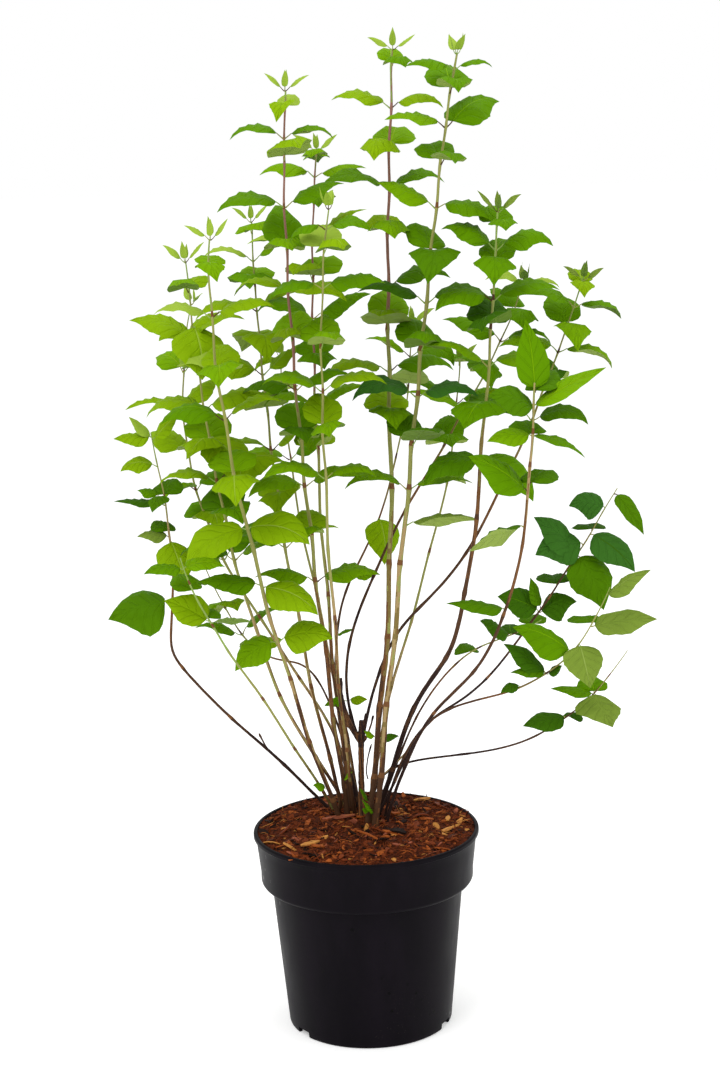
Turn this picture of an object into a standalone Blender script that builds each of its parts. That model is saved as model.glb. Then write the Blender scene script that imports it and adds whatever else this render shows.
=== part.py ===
"""Potted mock orange: a many-stemmed garden shrub a metre tall, in a five-litre grower's pot.

Built in metres with +Z up. The origin is the middle of the pot's flat underside, and -Y is the front.
Each shoot is one cubic curve from its foot to its topmost leaf. Its bare lower part is a tapering
stem, and its leafy upper part is an uneven mass of foliage that keeps clear of its neighbours.
"""

import math
from dataclasses import dataclass

import bmesh
import bpy
import numpy as np
from mathutils import Vector

OBJECT_NAME = "potted_mock_orange"
GAP = 0.0003  # between pieces that rest on one another

# Pot: a thin moulding with a deep collar, a raised drainage ring and a notched foot
POT_HEIGHT = 0.204
RIM_RADIUS = 0.115
LIP_HEIGHT = 0.005
LIP_PROUD = 0.0024
COLLAR_FOOT_RADIUS = 0.1085
COLLAR_FOOT_HEIGHT = 0.162
SHOULDER_RADIUS = 0.098
SHOULDER_HEIGHT = 0.150
SHOULDER_CORNER = 0.0045
BASE_RADIUS = 0.084
WALL = 0.0018
FOOT_WIDTH = 0.0042
FLOOR_HEIGHT = 0.0085
PAD_RADIUS = 0.048
POT_STEPS = 40

NOTCH_COUNT = 3
NOTCH_BEARING = math.radians(95.0)
NOTCH_WIDTH = 0.0185
NOTCH_HEIGHT = 0.0062
DRAIN_COUNT = 9
DRAIN_RADIUS = 0.0045
DRAIN_CIRCLE = 0.0640

# Fill: bark and coir, level where the stems stand and lower at the wall
SOIL_HEIGHT = 0.206
SOIL_LEVEL_RADIUS = 0.072
SOIL_EDGE_HEIGHT = 0.198

# Old framework: one thick stem cut back long ago, with the younger wood standing on its head
OLD_FOOT = (-0.004, 0.022)
OLD_HEAD = (-0.004, 0.024)
OLD_HEAD_HEIGHT = 0.290
OLD_FOOT_DIAMETER = 0.0076
OLD_NECK_DIAMETER = 0.0066
OLD_HEAD_DIAMETER = 0.0096
SPUR_FOOT = (-0.0063, 0.0214)
SPUR_TIP = (-0.022, 0.016, 0.334)
SPUR_DIAMETER = 0.0030

# Limbs and masses
LIMB_POINTS = 9
FLARE = 0.22  # how much wider a stem is at the soil
FLARE_SHARE = 0.10  # of the stem's length
MASS_SIDES = 10
MASS_GAP = 0.0016  # kept by each mass, so two masses lie twice this apart
STEM_SHYNESS = 0.55  # share of the way to a bare stem that a mass may fill
MASS_FLOOR = 0.006
BULGE = 0.22  # how far a leaf pair swells a mass beyond its mean reach
TIP_RUN = 0.085  # length over which a shoot narrows to its tip
TIP_SHARE = 0.20


@dataclass(frozen=True)
class Shoot:
    """One stem with the foliage it carries. Points are x, y and z; a foot is x and y on its ground."""

    place: str
    foot: tuple
    rise: tuple  # guide point that sets how the shoot leaves the ground
    crest: tuple  # guide point that sets how it comes up to its tip
    tip: tuple
    bare: float  # share of the length below the lowest leaves
    stem: float  # diameter at the foot
    neck: float  # diameter where the leaves begin
    pairs: int  # pairs of leaves, one above another
    reach: float  # from the stem to the leaf tips
    pad: float  # thickness of the mass as a share of its width
    turn: float  # bearing of the lowest pair, in degrees
    ground: float = SOIL_HEIGHT


SHOOTS = (
    Shoot("centre_tall", (0.002, 0.004), (0.056, 0.006, 0.584), (0.018, 0.014, 0.555),
          (0.046, 0.015, 0.997), 0.39, 0.0066, 0.0046, 11, 0.060, 0.80, 0.0),
    Shoot("centre_right", (0.009, -0.005), (0.045, -0.027, 0.492), (0.083, -0.047, 0.905),
          (0.107, -0.050, 0.989), 0.43, 0.0060, 0.0044, 10, 0.058, 0.80, 30.0),
    Shoot("left_tall", (-0.019, 0.030), (-0.043, -0.008, 0.449), (-0.074, -0.041, 0.760),
          (-0.056, -0.045, 0.960), 0.32, 0.0050, 0.0038, 12, 0.056, 0.80, 0.0),
    Shoot("left_behind", (-0.015, 0.045), (-0.040, 0.065, 0.419), (-0.050, 0.083, 0.741),
          (-0.030, 0.085, 0.902), 0.37, 0.0046, 0.0034, 10, 0.055, 0.80, 60.0),
    Shoot("centre_front", (-0.011, 0.035), (-0.024, -0.035, 0.311), (-0.046, -0.098, 0.755),
          (-0.015, -0.105, 0.852), 0.46, 0.0038, 0.0030, 8, 0.055, 0.80, 20.0),
    Shoot("left_back", (-0.024, 0.052), (-0.078, 0.088, 0.416), (-0.100, 0.121, 0.656),
          (-0.102, 0.125, 0.833), 0.35, 0.0042, 0.0032, 9, 0.056, 0.80, 45.0),
    Shoot("left_front", (-0.028, 0.024), (-0.095, -0.042, 0.426), (-0.147, -0.112, 0.691),
          (-0.125, -0.120, 0.828), 0.34, 0.0046, 0.0034, 10, 0.058, 0.80, 10.0),
    Shoot("left_mid", (-0.031, 0.036), (0.003, 0.014, 0.257), (-0.130, -0.008, 0.256),
          (-0.161, -0.010, 0.802), 0.49, 0.0038, 0.0030, 8, 0.056, 0.80, 80.0),
    Shoot("left_outer_back", (-0.016, 0.056), (-0.011, 0.098, 0.357), (-0.245, 0.136, 0.440),
          (-0.162, 0.140, 0.749), 0.50, 0.0034, 0.0026, 7, 0.055, 0.70, 35.0),
    Shoot("left_arching", (-0.038, 0.054), (-0.291, 0.041, 0.479), (-0.146, 0.031, 0.283),
          (-0.204, 0.030, 0.611), 0.55, 0.0034, 0.0026, 5, 0.076, 0.38, 0.0),
    Shoot("left_low_front", (-0.034, 0.046), (-0.090, -0.042, 0.359), (-0.194, -0.121, 0.496),
          (-0.163, -0.130, 0.552), 0.61, 0.0032, 0.0024, 4, 0.056, 0.45, 30.0),
    Shoot("left_low_back", (-0.008, 0.053), (-0.060, 0.094, 0.491), (-0.084, 0.131, 0.221),
          (-0.172, 0.135, 0.475), 0.60, 0.0026, 0.0020, 4, 0.052, 0.45, 10.0),
    Shoot("centre_back", (-0.006, 0.043), (-0.078, 0.102, 0.506), (0.049, 0.154, 0.377),
          (0.063, 0.160, 0.721), 0.37, 0.0034, 0.0026, 8, 0.055, 0.80, 50.0),
    Shoot("right_back", (-0.0056, 0.0262), (-0.067, 0.067, 0.426), (0.151, 0.106, 0.616),
          (0.180, 0.110, 0.765), 0.43, 0.0031, 0.0027, 7, 0.056, 0.80, 15.0, OLD_HEAD_HEIGHT),
    Shoot("right_outer", (-0.0012, 0.0236), (0.041, 0.040, 0.501), (0.079, 0.053, 0.306),
          (0.237, 0.055, 0.769), 0.52, 0.0032, 0.0028, 7, 0.056, 0.60, 40.0, OLD_HEAD_HEIGHT),
    Shoot("right_mid", (0.012, 0.027), (0.095, -0.017, 0.508), (0.095, -0.056, 0.219),
          (0.140, -0.060, 0.844), 0.53, 0.0054, 0.0038, 8, 0.058, 0.80, 0.0),
    Shoot("right_front", (0.021, 0.005), (0.077, -0.057, 0.447), (0.156, -0.141, 0.297),
          (0.165, -0.150, 0.722), 0.63, 0.0040, 0.0032, 5, 0.058, 0.78, 25.0),
    Shoot("right_low_back", (0.014, 0.047), (0.085, 0.074, 0.392), (0.117, 0.097, 0.353),
          (0.190, 0.100, 0.392), 0.62, 0.0026, 0.0020, 3, 0.046, 0.45, 0.0),
    Shoot("right_low_mid", (0.011, 0.016), (0.103, 0.008, 0.416), (0.059, 0.005, 0.213),
          (0.258, 0.005, 0.547), 0.62, 0.0036, 0.0028, 5, 0.070, 0.42, 0.0),
    Shoot("right_low_front", (0.019, 0.013), (0.057, -0.034, 0.427), (0.175, -0.080, 0.281),
          (0.245, -0.085, 0.482), 0.59, 0.0030, 0.0022, 4, 0.068, 0.42, 0.0),
    Shoot("right_lowest", (0.007, 0.038), (0.007, 0.038, 0.321), (0.156, 0.010, 0.203),
          (0.266, -0.010, 0.385), 0.61, 0.0026, 0.0020, 4, 0.044, 0.45, 0.0),
    Shoot("hind_left", (-0.007, 0.062), (-0.035, 0.115, 0.400), (-0.080, 0.165, 0.520),
          (-0.078, 0.170, 0.690), 0.44, 0.0036, 0.0028, 7, 0.054, 0.90, 70.0),
    Shoot("hind_right", (0.004, 0.053), (0.030, 0.105, 0.380), (0.110, 0.165, 0.480),
          (0.112, 0.170, 0.680), 0.44, 0.0036, 0.0028, 7, 0.054, 0.90, 20.0),
)

# name: colour, roughness, metallic
FINISHES = {
    "black_plastic": ((0.012, 0.011, 0.013), 0.42, 0.0),
    "bark_fill": ((0.130, 0.042, 0.014), 0.95, 0.0),
    "old_wood": ((0.075, 0.038, 0.022), 0.80, 0.0),
    "stem_wood": ((0.250, 0.180, 0.085), 0.65, 0.0),
    "leaf_bright": ((0.170, 0.360, 0.020), 0.50, 0.0),
    "leaf_deep": ((0.060, 0.200, 0.015), 0.50, 0.0),
}


def clear_scene():
    """Remove whatever the opened file holds."""
    for thing in list(bpy.data.objects):
        bpy.data.objects.remove(thing, do_unlink=True)


def make_collection(name):
    collection = bpy.data.collections.new(name)
    bpy.context.scene.collection.children.link(collection)
    return collection


def make_materials():
    """One Principled material for each finish."""
    made = {}
    for name, (colour, roughness, metallic) in FINISHES.items():
        material = bpy.data.materials.new(name)
        material.use_nodes = True
        shader = material.node_tree.nodes["Principled BSDF"]
        shader.inputs["Base Color"].default_value = (*colour, 1.0)
        shader.inputs["Roughness"].default_value = roughness
        shader.inputs["Metallic"].default_value = metallic
        made[name] = material
    return made


def add_object(name, mesh, material, collection):
    mesh.materials.clear()
    mesh.materials.append(material)
    thing = bpy.data.objects.new(name, mesh)
    collection.objects.link(thing)
    return thing


def add_modifier(thing, kind, **settings):
    modifier = thing.modifiers.new(kind.title(), kind)
    for key, value in settings.items():
        setattr(modifier, key, value)
    return modifier


# ---------------------------------------------------------------- pot and fill


def turned(name, profile, material, collection):
    """A solid turned round Z from (radius, height) points that run from the top down the outside."""
    mesh = bpy.data.meshes.new(name)
    edges = [(i, i + 1) for i in range(len(profile) - 1)]
    mesh.from_pydata([(radius, 0.0, height) for radius, height in profile], edges, [])
    thing = add_object(name, mesh, material, collection)
    add_modifier(thing, "SCREW", angle=math.tau, steps=POT_STEPS, render_steps=POT_STEPS,
                 use_merge_vertices=True, merge_threshold=0.00005, use_smooth_shade=False)
    return thing


def body_radius(height):
    """Outer radius of the tapering body below the shoulder."""
    return BASE_RADIUS + (SHOULDER_RADIUS - BASE_RADIUS) * height / SHOULDER_HEIGHT


def collar_radius(height):
    """Outer radius of the collar below the lip."""
    lip_foot = POT_HEIGHT - LIP_HEIGHT
    share = (height - COLLAR_FOOT_HEIGHT) / (lip_foot - COLLAR_FOOT_HEIGHT)
    top = RIM_RADIUS - LIP_PROUD
    return COLLAR_FOOT_RADIUS + (top - COLLAR_FOOT_RADIUS) * share


def inside_of_pot(clearance, top):
    """The pot's inner face from a height down to the axis, moved inwards by a clearance."""
    wall = WALL + clearance
    floor = FLOOR_HEIGHT + clearance
    pad_floor = WALL + clearance
    ring = PAD_RADIUS - WALL - clearance
    return [
        (collar_radius(top) - wall, top),
        (COLLAR_FOOT_RADIUS - wall, COLLAR_FOOT_HEIGHT),
        (COLLAR_FOOT_RADIUS - SHOULDER_CORNER - wall, SHOULDER_HEIGHT + SHOULDER_CORNER + WALL),
        (body_radius(SHOULDER_HEIGHT) - wall, SHOULDER_HEIGHT + WALL),
        (body_radius(floor) - wall, floor),
        (ring + WALL, floor),
        (ring, pad_floor),
        (0.0, pad_floor),
    ]


def pot_profile():
    """The pot's section: down the outside, across the underside, and up the inside to the rim."""
    lip_foot = POT_HEIGHT - LIP_HEIGHT
    bevel = LIP_PROUD / 2
    outside = [
        (RIM_RADIUS - WALL, POT_HEIGHT),
        (RIM_RADIUS - bevel / 2, POT_HEIGHT),
        (RIM_RADIUS, POT_HEIGHT - bevel),
        (RIM_RADIUS, lip_foot + bevel / 2),
        (collar_radius(lip_foot), lip_foot),
        (COLLAR_FOOT_RADIUS, COLLAR_FOOT_HEIGHT),
        (COLLAR_FOOT_RADIUS - SHOULDER_CORNER / 3, SHOULDER_HEIGHT + SHOULDER_CORNER),
        (COLLAR_FOOT_RADIUS - SHOULDER_CORNER, SHOULDER_HEIGHT + SHOULDER_CORNER / 3),
        (SHOULDER_RADIUS, SHOULDER_HEIGHT),
        (BASE_RADIUS, 0.0),
        (BASE_RADIUS - FOOT_WIDTH, 0.0),
        (BASE_RADIUS - FOOT_WIDTH, FLOOR_HEIGHT - WALL),
        (PAD_RADIUS + WALL, FLOOR_HEIGHT - WALL),
        (PAD_RADIUS, 0.0),
        (0.0, 0.0),
    ]
    inside = inside_of_pot(0.0, POT_HEIGHT - LIP_HEIGHT)
    return list(reversed(inside)) + outside


def add_cutter(name, mesh, collection, location, bearing):
    cutter = bpy.data.objects.new(name, mesh)
    collection.objects.link(cutter)
    cutter.location = location
    cutter.rotation_euler = (0.0, 0.0, bearing)
    cutter.hide_render = True
    cutter.display_type = "WIRE"


def block_mesh(size):
    mesh = bpy.data.meshes.new("block")
    bm = bmesh.new()
    bmesh.ops.create_cube(bm, size=1.0)
    bmesh.ops.scale(bm, vec=size, verts=bm.verts)
    bm.to_mesh(mesh)
    bm.free()
    return mesh


def rod_mesh(radius, depth, sides):
    mesh = bpy.data.meshes.new("rod")
    bm = bmesh.new()
    bmesh.ops.create_cone(bm, cap_ends=True, segments=sides, radius1=radius, radius2=radius, depth=depth)
    bm.to_mesh(mesh)
    bm.free()
    return mesh


def ring_of(count, radius, height, first_bearing):
    """Places and bearings evenly spaced round the pot's axis."""
    for index in range(count):
        bearing = first_bearing + math.tau * index / count
        yield index, (radius * math.cos(bearing), radius * math.sin(bearing), height), bearing


def build_pot(material, parts, cutters):
    pot = turned("pot", pot_profile(), material, parts)
    notch = block_mesh((FOOT_WIDTH * 3, NOTCH_WIDTH, NOTCH_HEIGHT * 2))
    notch_circle = BASE_RADIUS - FOOT_WIDTH / 2
    for index, place, bearing in ring_of(NOTCH_COUNT, notch_circle, 0.0, NOTCH_BEARING):
        add_cutter(f"notch_{index}", notch, cutters, place, bearing)
    drain = rod_mesh(DRAIN_RADIUS, FLOOR_HEIGHT, 8)
    for index, place, bearing in ring_of(DRAIN_COUNT, DRAIN_CIRCLE, FLOOR_HEIGHT, 0.0):
        add_cutter(f"drain_{index}", drain, cutters, place, bearing)
    add_modifier(pot, "BOOLEAN", operation="DIFFERENCE", solver="EXACT",
                 operand_type="COLLECTION", collection=cutters)


def build_fill(material, parts):
    top = [(0.0, SOIL_HEIGHT), (SOIL_LEVEL_RADIUS, SOIL_HEIGHT)]
    turned("fill", top + inside_of_pot(GAP, SOIL_EDGE_HEIGHT), material, parts)


# ---------------------------------------------------------------- limbs


class Spine:
    """The line of a shoot: a cubic curve from its foot to its tip, measured along its length."""

    SAMPLES = 161

    def __init__(self, foot, rise, crest, tip):
        t = np.linspace(0.0, 1.0, self.SAMPLES)[:, None]
        guides = [np.array(point, dtype=float) for point in (foot, rise, crest, tip)]
        self.path = ((1 - t) ** 3 * guides[0] + 3 * t * (1 - t) ** 2 * guides[1]
                     + 3 * t ** 2 * (1 - t) * guides[2] + t ** 3 * guides[3])
        steps = np.linalg.norm(np.diff(self.path, axis=0), axis=1)
        self.run = np.concatenate(([0.0], np.cumsum(steps)))
        self.length = self.run[-1]

    def at(self, share):
        """Point at a share of the length, or one point for each of several shares."""
        where = np.asarray(share) * self.length
        return np.stack([np.interp(where, self.run, self.path[:, axis]) for axis in range(3)], axis=-1)

    def heading(self, share):
        """Unit vector along the shoot at a share of its length."""
        near = 0.01
        along = self.at(min(share + near, 1.0)) - self.at(max(share - near, 0.0))
        return along / np.linalg.norm(along)


def spine_of(shoot):
    return Spine((*shoot.foot, shoot.ground), shoot.rise, shoot.crest, shoot.tip)


def stem_radius(share, foot_diameter, neck_diameter):
    """Radius at a share of a stem's own length: an even taper with a flare at the soil."""
    flare = 1.0 + FLARE * max(0.0, 1.0 - share / FLARE_SHARE) ** 2
    return 0.5 * (foot_diameter + (neck_diameter - foot_diameter) * share) * flare


def add_limb(name, points, radii, ground, material, collection):
    """A round tapering limb along points, cut level at its foot just above the ground it stands on."""
    curve = bpy.data.curves.new(name, "CURVE")
    curve.dimensions = "3D"
    curve.bevel_depth = radii[0]
    curve.bevel_resolution = 1
    curve.use_fill_caps = True
    line = curve.splines.new("POLY")
    line.points.add(len(points) - 1)
    for knot, point, radius in zip(line.points, points, radii):
        knot.co = (*point, 1.0)
        knot.radius = radius / radii[0]
    guide = bpy.data.objects.new(name + "_line", curve)
    collection.objects.link(guide)
    bpy.context.view_layer.update()
    mesh = bpy.data.meshes.new_from_object(guide.evaluated_get(bpy.context.evaluated_depsgraph_get()))
    bpy.data.objects.remove(guide, do_unlink=True)

    bm = bmesh.new()
    bm.from_mesh(mesh)
    bmesh.ops.remove_doubles(bm, verts=bm.verts, dist=0.00001)
    everything = bm.verts[:] + bm.edges[:] + bm.faces[:]
    bmesh.ops.bisect_plane(bm, geom=everything, dist=0.000001, plane_co=(0.0, 0.0, ground + GAP),
                           plane_no=(0.0, 0.0, 1.0), clear_inner=True)
    bmesh.ops.holes_fill(bm, edges=[edge for edge in bm.edges if edge.is_boundary], sides=0)
    bmesh.ops.recalc_face_normals(bm, faces=bm.faces)
    bm.to_mesh(mesh)
    bm.free()
    mesh.name = name
    return add_object(name, mesh, material, collection)


def rooted(points, depth):
    """The points of a limb with one more below its foot, to be cut off level with the ground."""
    first = np.array(points[0])
    back = first - np.array(points[1])
    return [first + back / np.linalg.norm(back) * depth, *points]


def build_old_framework(material, parts):
    """The cut-back main stem, with a swollen head, and the dead spur that stands on it."""
    foot = np.array((*OLD_FOOT, SOIL_HEIGHT))
    head = np.array((*OLD_HEAD, OLD_HEAD_HEIGHT - GAP))
    shares = (0.0, 0.12, 0.5, 0.8, 0.93, 1.0)
    widths = (OLD_FOOT_DIAMETER * (1 + FLARE), OLD_FOOT_DIAMETER, OLD_NECK_DIAMETER,
              OLD_NECK_DIAMETER, OLD_HEAD_DIAMETER, OLD_HEAD_DIAMETER)
    points = [foot + (head - foot) * share for share in shares]
    radii = [width / 2 for width in widths]
    add_limb("old_stem", rooted(points, 0.004), [radii[0], *radii], SOIL_HEIGHT, material, parts)

    tip = np.array(SPUR_TIP)
    start = np.array((*SPUR_FOOT, OLD_HEAD_HEIGHT))
    middle = (start + tip) / 2 + np.array((-0.0035, 0.0, 0.001))
    line = rooted([start, (start + middle) / 2, middle, (middle + tip) / 2, tip], 0.004)
    radii = [SPUR_DIAMETER / 2] * len(line)
    add_limb("old_spur", line, radii, OLD_HEAD_HEIGHT, material, parts)


def build_stem(shoot, spine, material, parts):
    """The bare part of a shoot, from its level foot to the square end where its leaves begin."""
    shares = np.linspace(0.0, 1.0, LIMB_POINTS) ** 1.15
    points = list(spine.at(shares * shoot.bare))
    radii = [stem_radius(share, shoot.stem, shoot.neck) for share in shares]
    depth = shoot.stem * 1.6
    add_limb("stem_" + shoot.place, rooted(points, depth), [radii[0], *radii], shoot.ground, material, parts)


# ---------------------------------------------------------------- foliage


@dataclass
class Neighbours:
    """What one mass of foliage keeps clear of."""

    leafy: np.ndarray  # points along the other leafy shoots
    bare: np.ndarray  # points along the bare stems
    girth: np.ndarray  # each bare point's stem radius


def neighbours_of(shoot, spines):
    """Points every few millimetres along every other shoot."""
    spacing = 0.006
    leafy, bare, girth = [], [], []
    for other, spine in spines:
        if other is shoot:
            continue
        leaf_count = int(spine.length * (1 - other.bare) / spacing) + 2
        stem_count = int(spine.length * other.bare / spacing) + 2
        leafy.append(spine.at(np.linspace(other.bare, 1.0, leaf_count)))
        bare.append(spine.at(np.linspace(0.0, other.bare, stem_count)))
        girth.append(np.full(stem_count, other.stem / 2))
    return Neighbours(np.concatenate(leafy), np.concatenate(bare), np.concatenate(girth))


def free_reach(centre, direction, wanted, near):
    """How far a mass may stand out from its shoot before it is as near to another one."""
    allowed = MASS_FLOOR
    for radius in np.linspace(MASS_FLOOR, max(wanted, MASS_FLOOR), 24):
        point = centre + direction * radius
        to_leafy = np.linalg.norm(near.leafy - point, axis=1).min()
        to_bare = (np.linalg.norm(near.bare - point, axis=1) - near.girth).min()
        if to_leafy < radius + MASS_GAP or to_bare < STEM_SHYNESS * radius + MASS_GAP:
            break
        allowed = radius
    return min(allowed, wanted)


def foliage_reach(shoot, station, bearing, to_tip):
    """Reach of the leaves at one pair, swelling in the pair's own direction."""
    pair_bearing = math.radians(shoot.turn + 90.0 * station)
    swell = 1.0 - BULGE + BULGE * math.cos(2.0 * (bearing - pair_bearing))
    narrowing = min(1.0, TIP_SHARE + (1.0 - TIP_SHARE) * to_tip / TIP_RUN)
    flat = math.hypot(math.cos(bearing), math.sin(bearing) * shoot.pad)
    return shoot.reach * swell * narrowing * flat


def station_share(shoot, station):
    """Share of the shoot's length at a pair of leaves; the pairs stand closer towards the tip."""
    part = station / (shoot.pairs + 1)
    return shoot.bare + (1.0 - shoot.bare) * (1.15 * part - 0.15 * part ** 2)


def build_foliage(shoot, spine, near, material, parts):
    """A sphere drawn out along the shoot, with a ring of vertices at each pair of leaves."""
    stations = shoot.pairs + 1
    bm = bmesh.new()
    bmesh.ops.create_uvsphere(bm, u_segments=MASS_SIDES, v_segments=stations, radius=1.0)
    for vertex in bm.verts:
        station = round(math.acos(max(-1.0, min(1.0, -vertex.co.z))) / math.pi * stations)
        share = station_share(shoot, station)
        centre = spine.at(share)
        heading = spine.heading(share)
        if station == 0:
            vertex.co = Vector(centre + heading * GAP)
            continue
        if station == stations:
            vertex.co = Vector(centre)
            continue
        depthwise = np.array((0.0, 1.0, 0.0))
        depthwise -= heading * heading.dot(depthwise)
        depthwise /= np.linalg.norm(depthwise)
        sideways = np.cross(depthwise, heading)
        bearing = math.atan2(vertex.co.y, vertex.co.x)
        direction = sideways * math.cos(bearing) + depthwise * math.sin(bearing)
        wanted = foliage_reach(shoot, station, bearing, (1.0 - share) * spine.length)
        vertex.co = Vector(centre + direction * free_reach(centre, direction, wanted, near))
    bmesh.ops.recalc_face_normals(bm, faces=bm.faces)
    name = "foliage_" + shoot.place
    mesh = bpy.data.meshes.new(name)
    bm.to_mesh(mesh)
    bm.free()
    add_object(name, mesh, material, parts)


def build_shrub(materials, parts):
    build_old_framework(materials["old_wood"], parts)
    spines = [(shoot, spine_of(shoot)) for shoot in SHOOTS]
    for shoot, spine in spines:
        leaf = "leaf_deep" if shoot.place.startswith("right") else "leaf_bright"
        build_stem(shoot, spine, materials["stem_wood"], parts)
        build_foliage(shoot, spine, neighbours_of(shoot, spines), materials[leaf], parts)


def main():
    clear_scene()
    parts = make_collection(OBJECT_NAME)
    cutters = make_collection("cutters")
    materials = make_materials()
    build_pot(materials["black_plastic"], parts, cutters)
    build_fill(materials["bark_fill"], parts)
    build_shrub(materials, parts)


main()
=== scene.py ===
"""Potted mock orange: the looks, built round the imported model.

The pot is turned and cut, the fill is a lumpy bed with bark and coir strewn on it, and every shoot
is a swept stem that bears opposite pairs of leaves by a seeded growth rule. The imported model's
masses stand for the leaves that grow here. Everything is in metres with +Z up, and -Y is the front.
"""

import logging
import math
from dataclasses import dataclass, field
from enum import Enum
from typing import Iterable

import bpy
import numpy as np
from mathutils import Matrix, Vector


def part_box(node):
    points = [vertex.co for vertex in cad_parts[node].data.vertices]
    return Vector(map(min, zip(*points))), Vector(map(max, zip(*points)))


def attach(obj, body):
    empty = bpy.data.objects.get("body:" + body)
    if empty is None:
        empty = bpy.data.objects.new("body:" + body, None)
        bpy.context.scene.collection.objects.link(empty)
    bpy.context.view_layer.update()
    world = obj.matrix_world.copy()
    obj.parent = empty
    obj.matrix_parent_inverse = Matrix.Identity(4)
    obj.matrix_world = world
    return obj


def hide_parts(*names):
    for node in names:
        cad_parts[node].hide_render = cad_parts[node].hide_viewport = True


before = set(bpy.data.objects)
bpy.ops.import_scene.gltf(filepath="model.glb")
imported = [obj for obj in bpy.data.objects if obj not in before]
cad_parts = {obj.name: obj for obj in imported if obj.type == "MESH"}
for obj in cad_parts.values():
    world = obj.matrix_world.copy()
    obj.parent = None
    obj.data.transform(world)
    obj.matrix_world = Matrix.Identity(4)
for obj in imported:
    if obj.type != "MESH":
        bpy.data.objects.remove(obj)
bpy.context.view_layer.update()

LOG = logging.getLogger("mock_orange")
BODY = "root"
UP = np.array((0.0, 0.0, 1.0))
DEPTH = np.array((0.0, 1.0, 0.0))
LEVEL = np.array((1.0, 1.0, 0.0))  # leaves out the height of what it multiplies
Outputs = bpy.types.bpy_prop_collection  # a node's outputs, by name
Value = bpy.types.NodeSocket | tuple | float  # what goes into a node
Measure = np.ndarray | float  # one number, or several at once


def paint(red: int, green: int, blue: int) -> tuple[float, float, float]:
    """Turn a colour given in eight-bit screen values into the linear values that a shader takes.

    Args:
        red: red, 0 to 255.
        green: green, 0 to 255.
        blue: blue, 0 to 255.

    Returns:
        Linear red, green and blue.
    """
    return tuple(((c / 255 + 0.055) / 1.055) ** 2.4 if c > 10 else c / 255 / 12.92 for c in (red, green, blue))


# ---------------- shader graphs


class Graph:
    """A node tree that is filled in by short calls."""

    def __init__(self, tree: bpy.types.NodeTree) -> None:
        """Keep the tree that the nodes go into."""
        self.tree = tree

    def node(self, kind: str, inputs: dict | None = None, **settings: object) -> bpy.types.Node:
        """Add a node.

        Args:
            kind: the node's type without its "ShaderNode" prefix.
            inputs: what goes into its sockets, by name: an output that is linked, or a value.
            settings: properties of the node.

        Returns:
            The new node.
        """
        made = self.tree.nodes.new(kind if kind.startswith("Node") else "ShaderNode" + kind)
        for key, value in settings.items():
            setattr(made, key, value)
        self.feed(made, inputs or {})
        return made

    def feed(self, node: bpy.types.Node, inputs: dict) -> None:
        """Link or set a node's input sockets, each given by name or number.

        Args:
            node: the node.
            inputs: what goes into its sockets, by name or number.
        """
        for key, value in inputs.items():
            if isinstance(value, bpy.types.NodeSocket):
                self.tree.links.new(value, node.inputs[key])
            else:
                node.inputs[key].default_value = value

    def math(self, operation: str, *values: Value) -> bpy.types.NodeSocket:
        """Add a Math node and return what it puts out."""
        return self.node("Math", dict(enumerate(values)), operation=operation).outputs[0]

    def times(self, value: Value, factor: Value) -> bpy.types.NodeSocket:
        """Multiply a value."""
        return self.math("MULTIPLY", value, factor)

    def less(self, value: Value, taken: Value) -> bpy.types.NodeSocket:
        """Subtract from a value."""
        return self.math("SUBTRACT", value, taken)

    def plus(self, value: Value, added: Value) -> bpy.types.NodeSocket:
        """Add to a value."""
        return self.math("ADD", value, added)

    def between(self, value: Value, low: float, high: float, to_low: float = 0.0,
                to_high: float = 1.0) -> bpy.types.NodeSocket:
        """Map a value from one range to another, eased between them and held at its ends.

        Args:
            value: the socket that is mapped.
            low: the value that gives to_low.
            high: the value that gives to_high.
            to_low: what comes out at low.
            to_high: what comes out at high.

        Returns:
            The mapped value's socket.
        """
        return self.node("MapRange", {"Value": value, "From Min": low, "From Max": high, "To Min": to_low,
                                      "To Max": to_high}, interpolation_type="SMOOTHSTEP").outputs["Result"]

    def noise(self, vector: Value, scale: Value, detail: float = 3.0,
              roughness: float = 0.55) -> bpy.types.NodeSocket:
        """Add a Noise Texture on a vector and return its value."""
        return self.node("TexNoise", {"Vector": vector, "Scale": scale, "Detail": detail,
                                      "Roughness": roughness}).outputs["Fac"]

    def cells(self, vector: Value, scale: Value) -> bpy.types.NodeSocket:
        """Add a Voronoi Texture on a vector and return the distance to its nearest point."""
        return self.node("TexVoronoi", {"Vector": vector, "Scale": scale}, feature="F1").outputs["Distance"]

    def blend(self, share: Value, first: Value, second: Value) -> bpy.types.NodeSocket:
        """Mix two colours by a share and return the colour.

        Args:
            share: how much of the second colour shows.
            first: the colour at a share of 0.
            second: the colour at a share of 1.

        Returns:
            The mixed colour's socket.
        """
        made = self.node("Mix", {"Factor": share}, data_type="RGBA")
        for name, colour in (("A", first), ("B", second)):
            number = next(n for n, s in enumerate(made.inputs) if s.name == name and s.type == "RGBA")
            self.feed(made, {number: (*colour, 1.0) if isinstance(colour, tuple) else colour})
        return next(s for s in made.outputs if s.type == "RGBA")

    def object_place(self, stretch: tuple[float, float, float] = (1.0, 1.0, 1.0)) -> bpy.types.NodeSocket:
        """Put out the piece's own coordinates, stretched along each axis."""
        place = self.node("TexCoord").outputs["Object"]
        return self.node("Mapping", {"Vector": place, "Scale": stretch}).outputs["Vector"]


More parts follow.
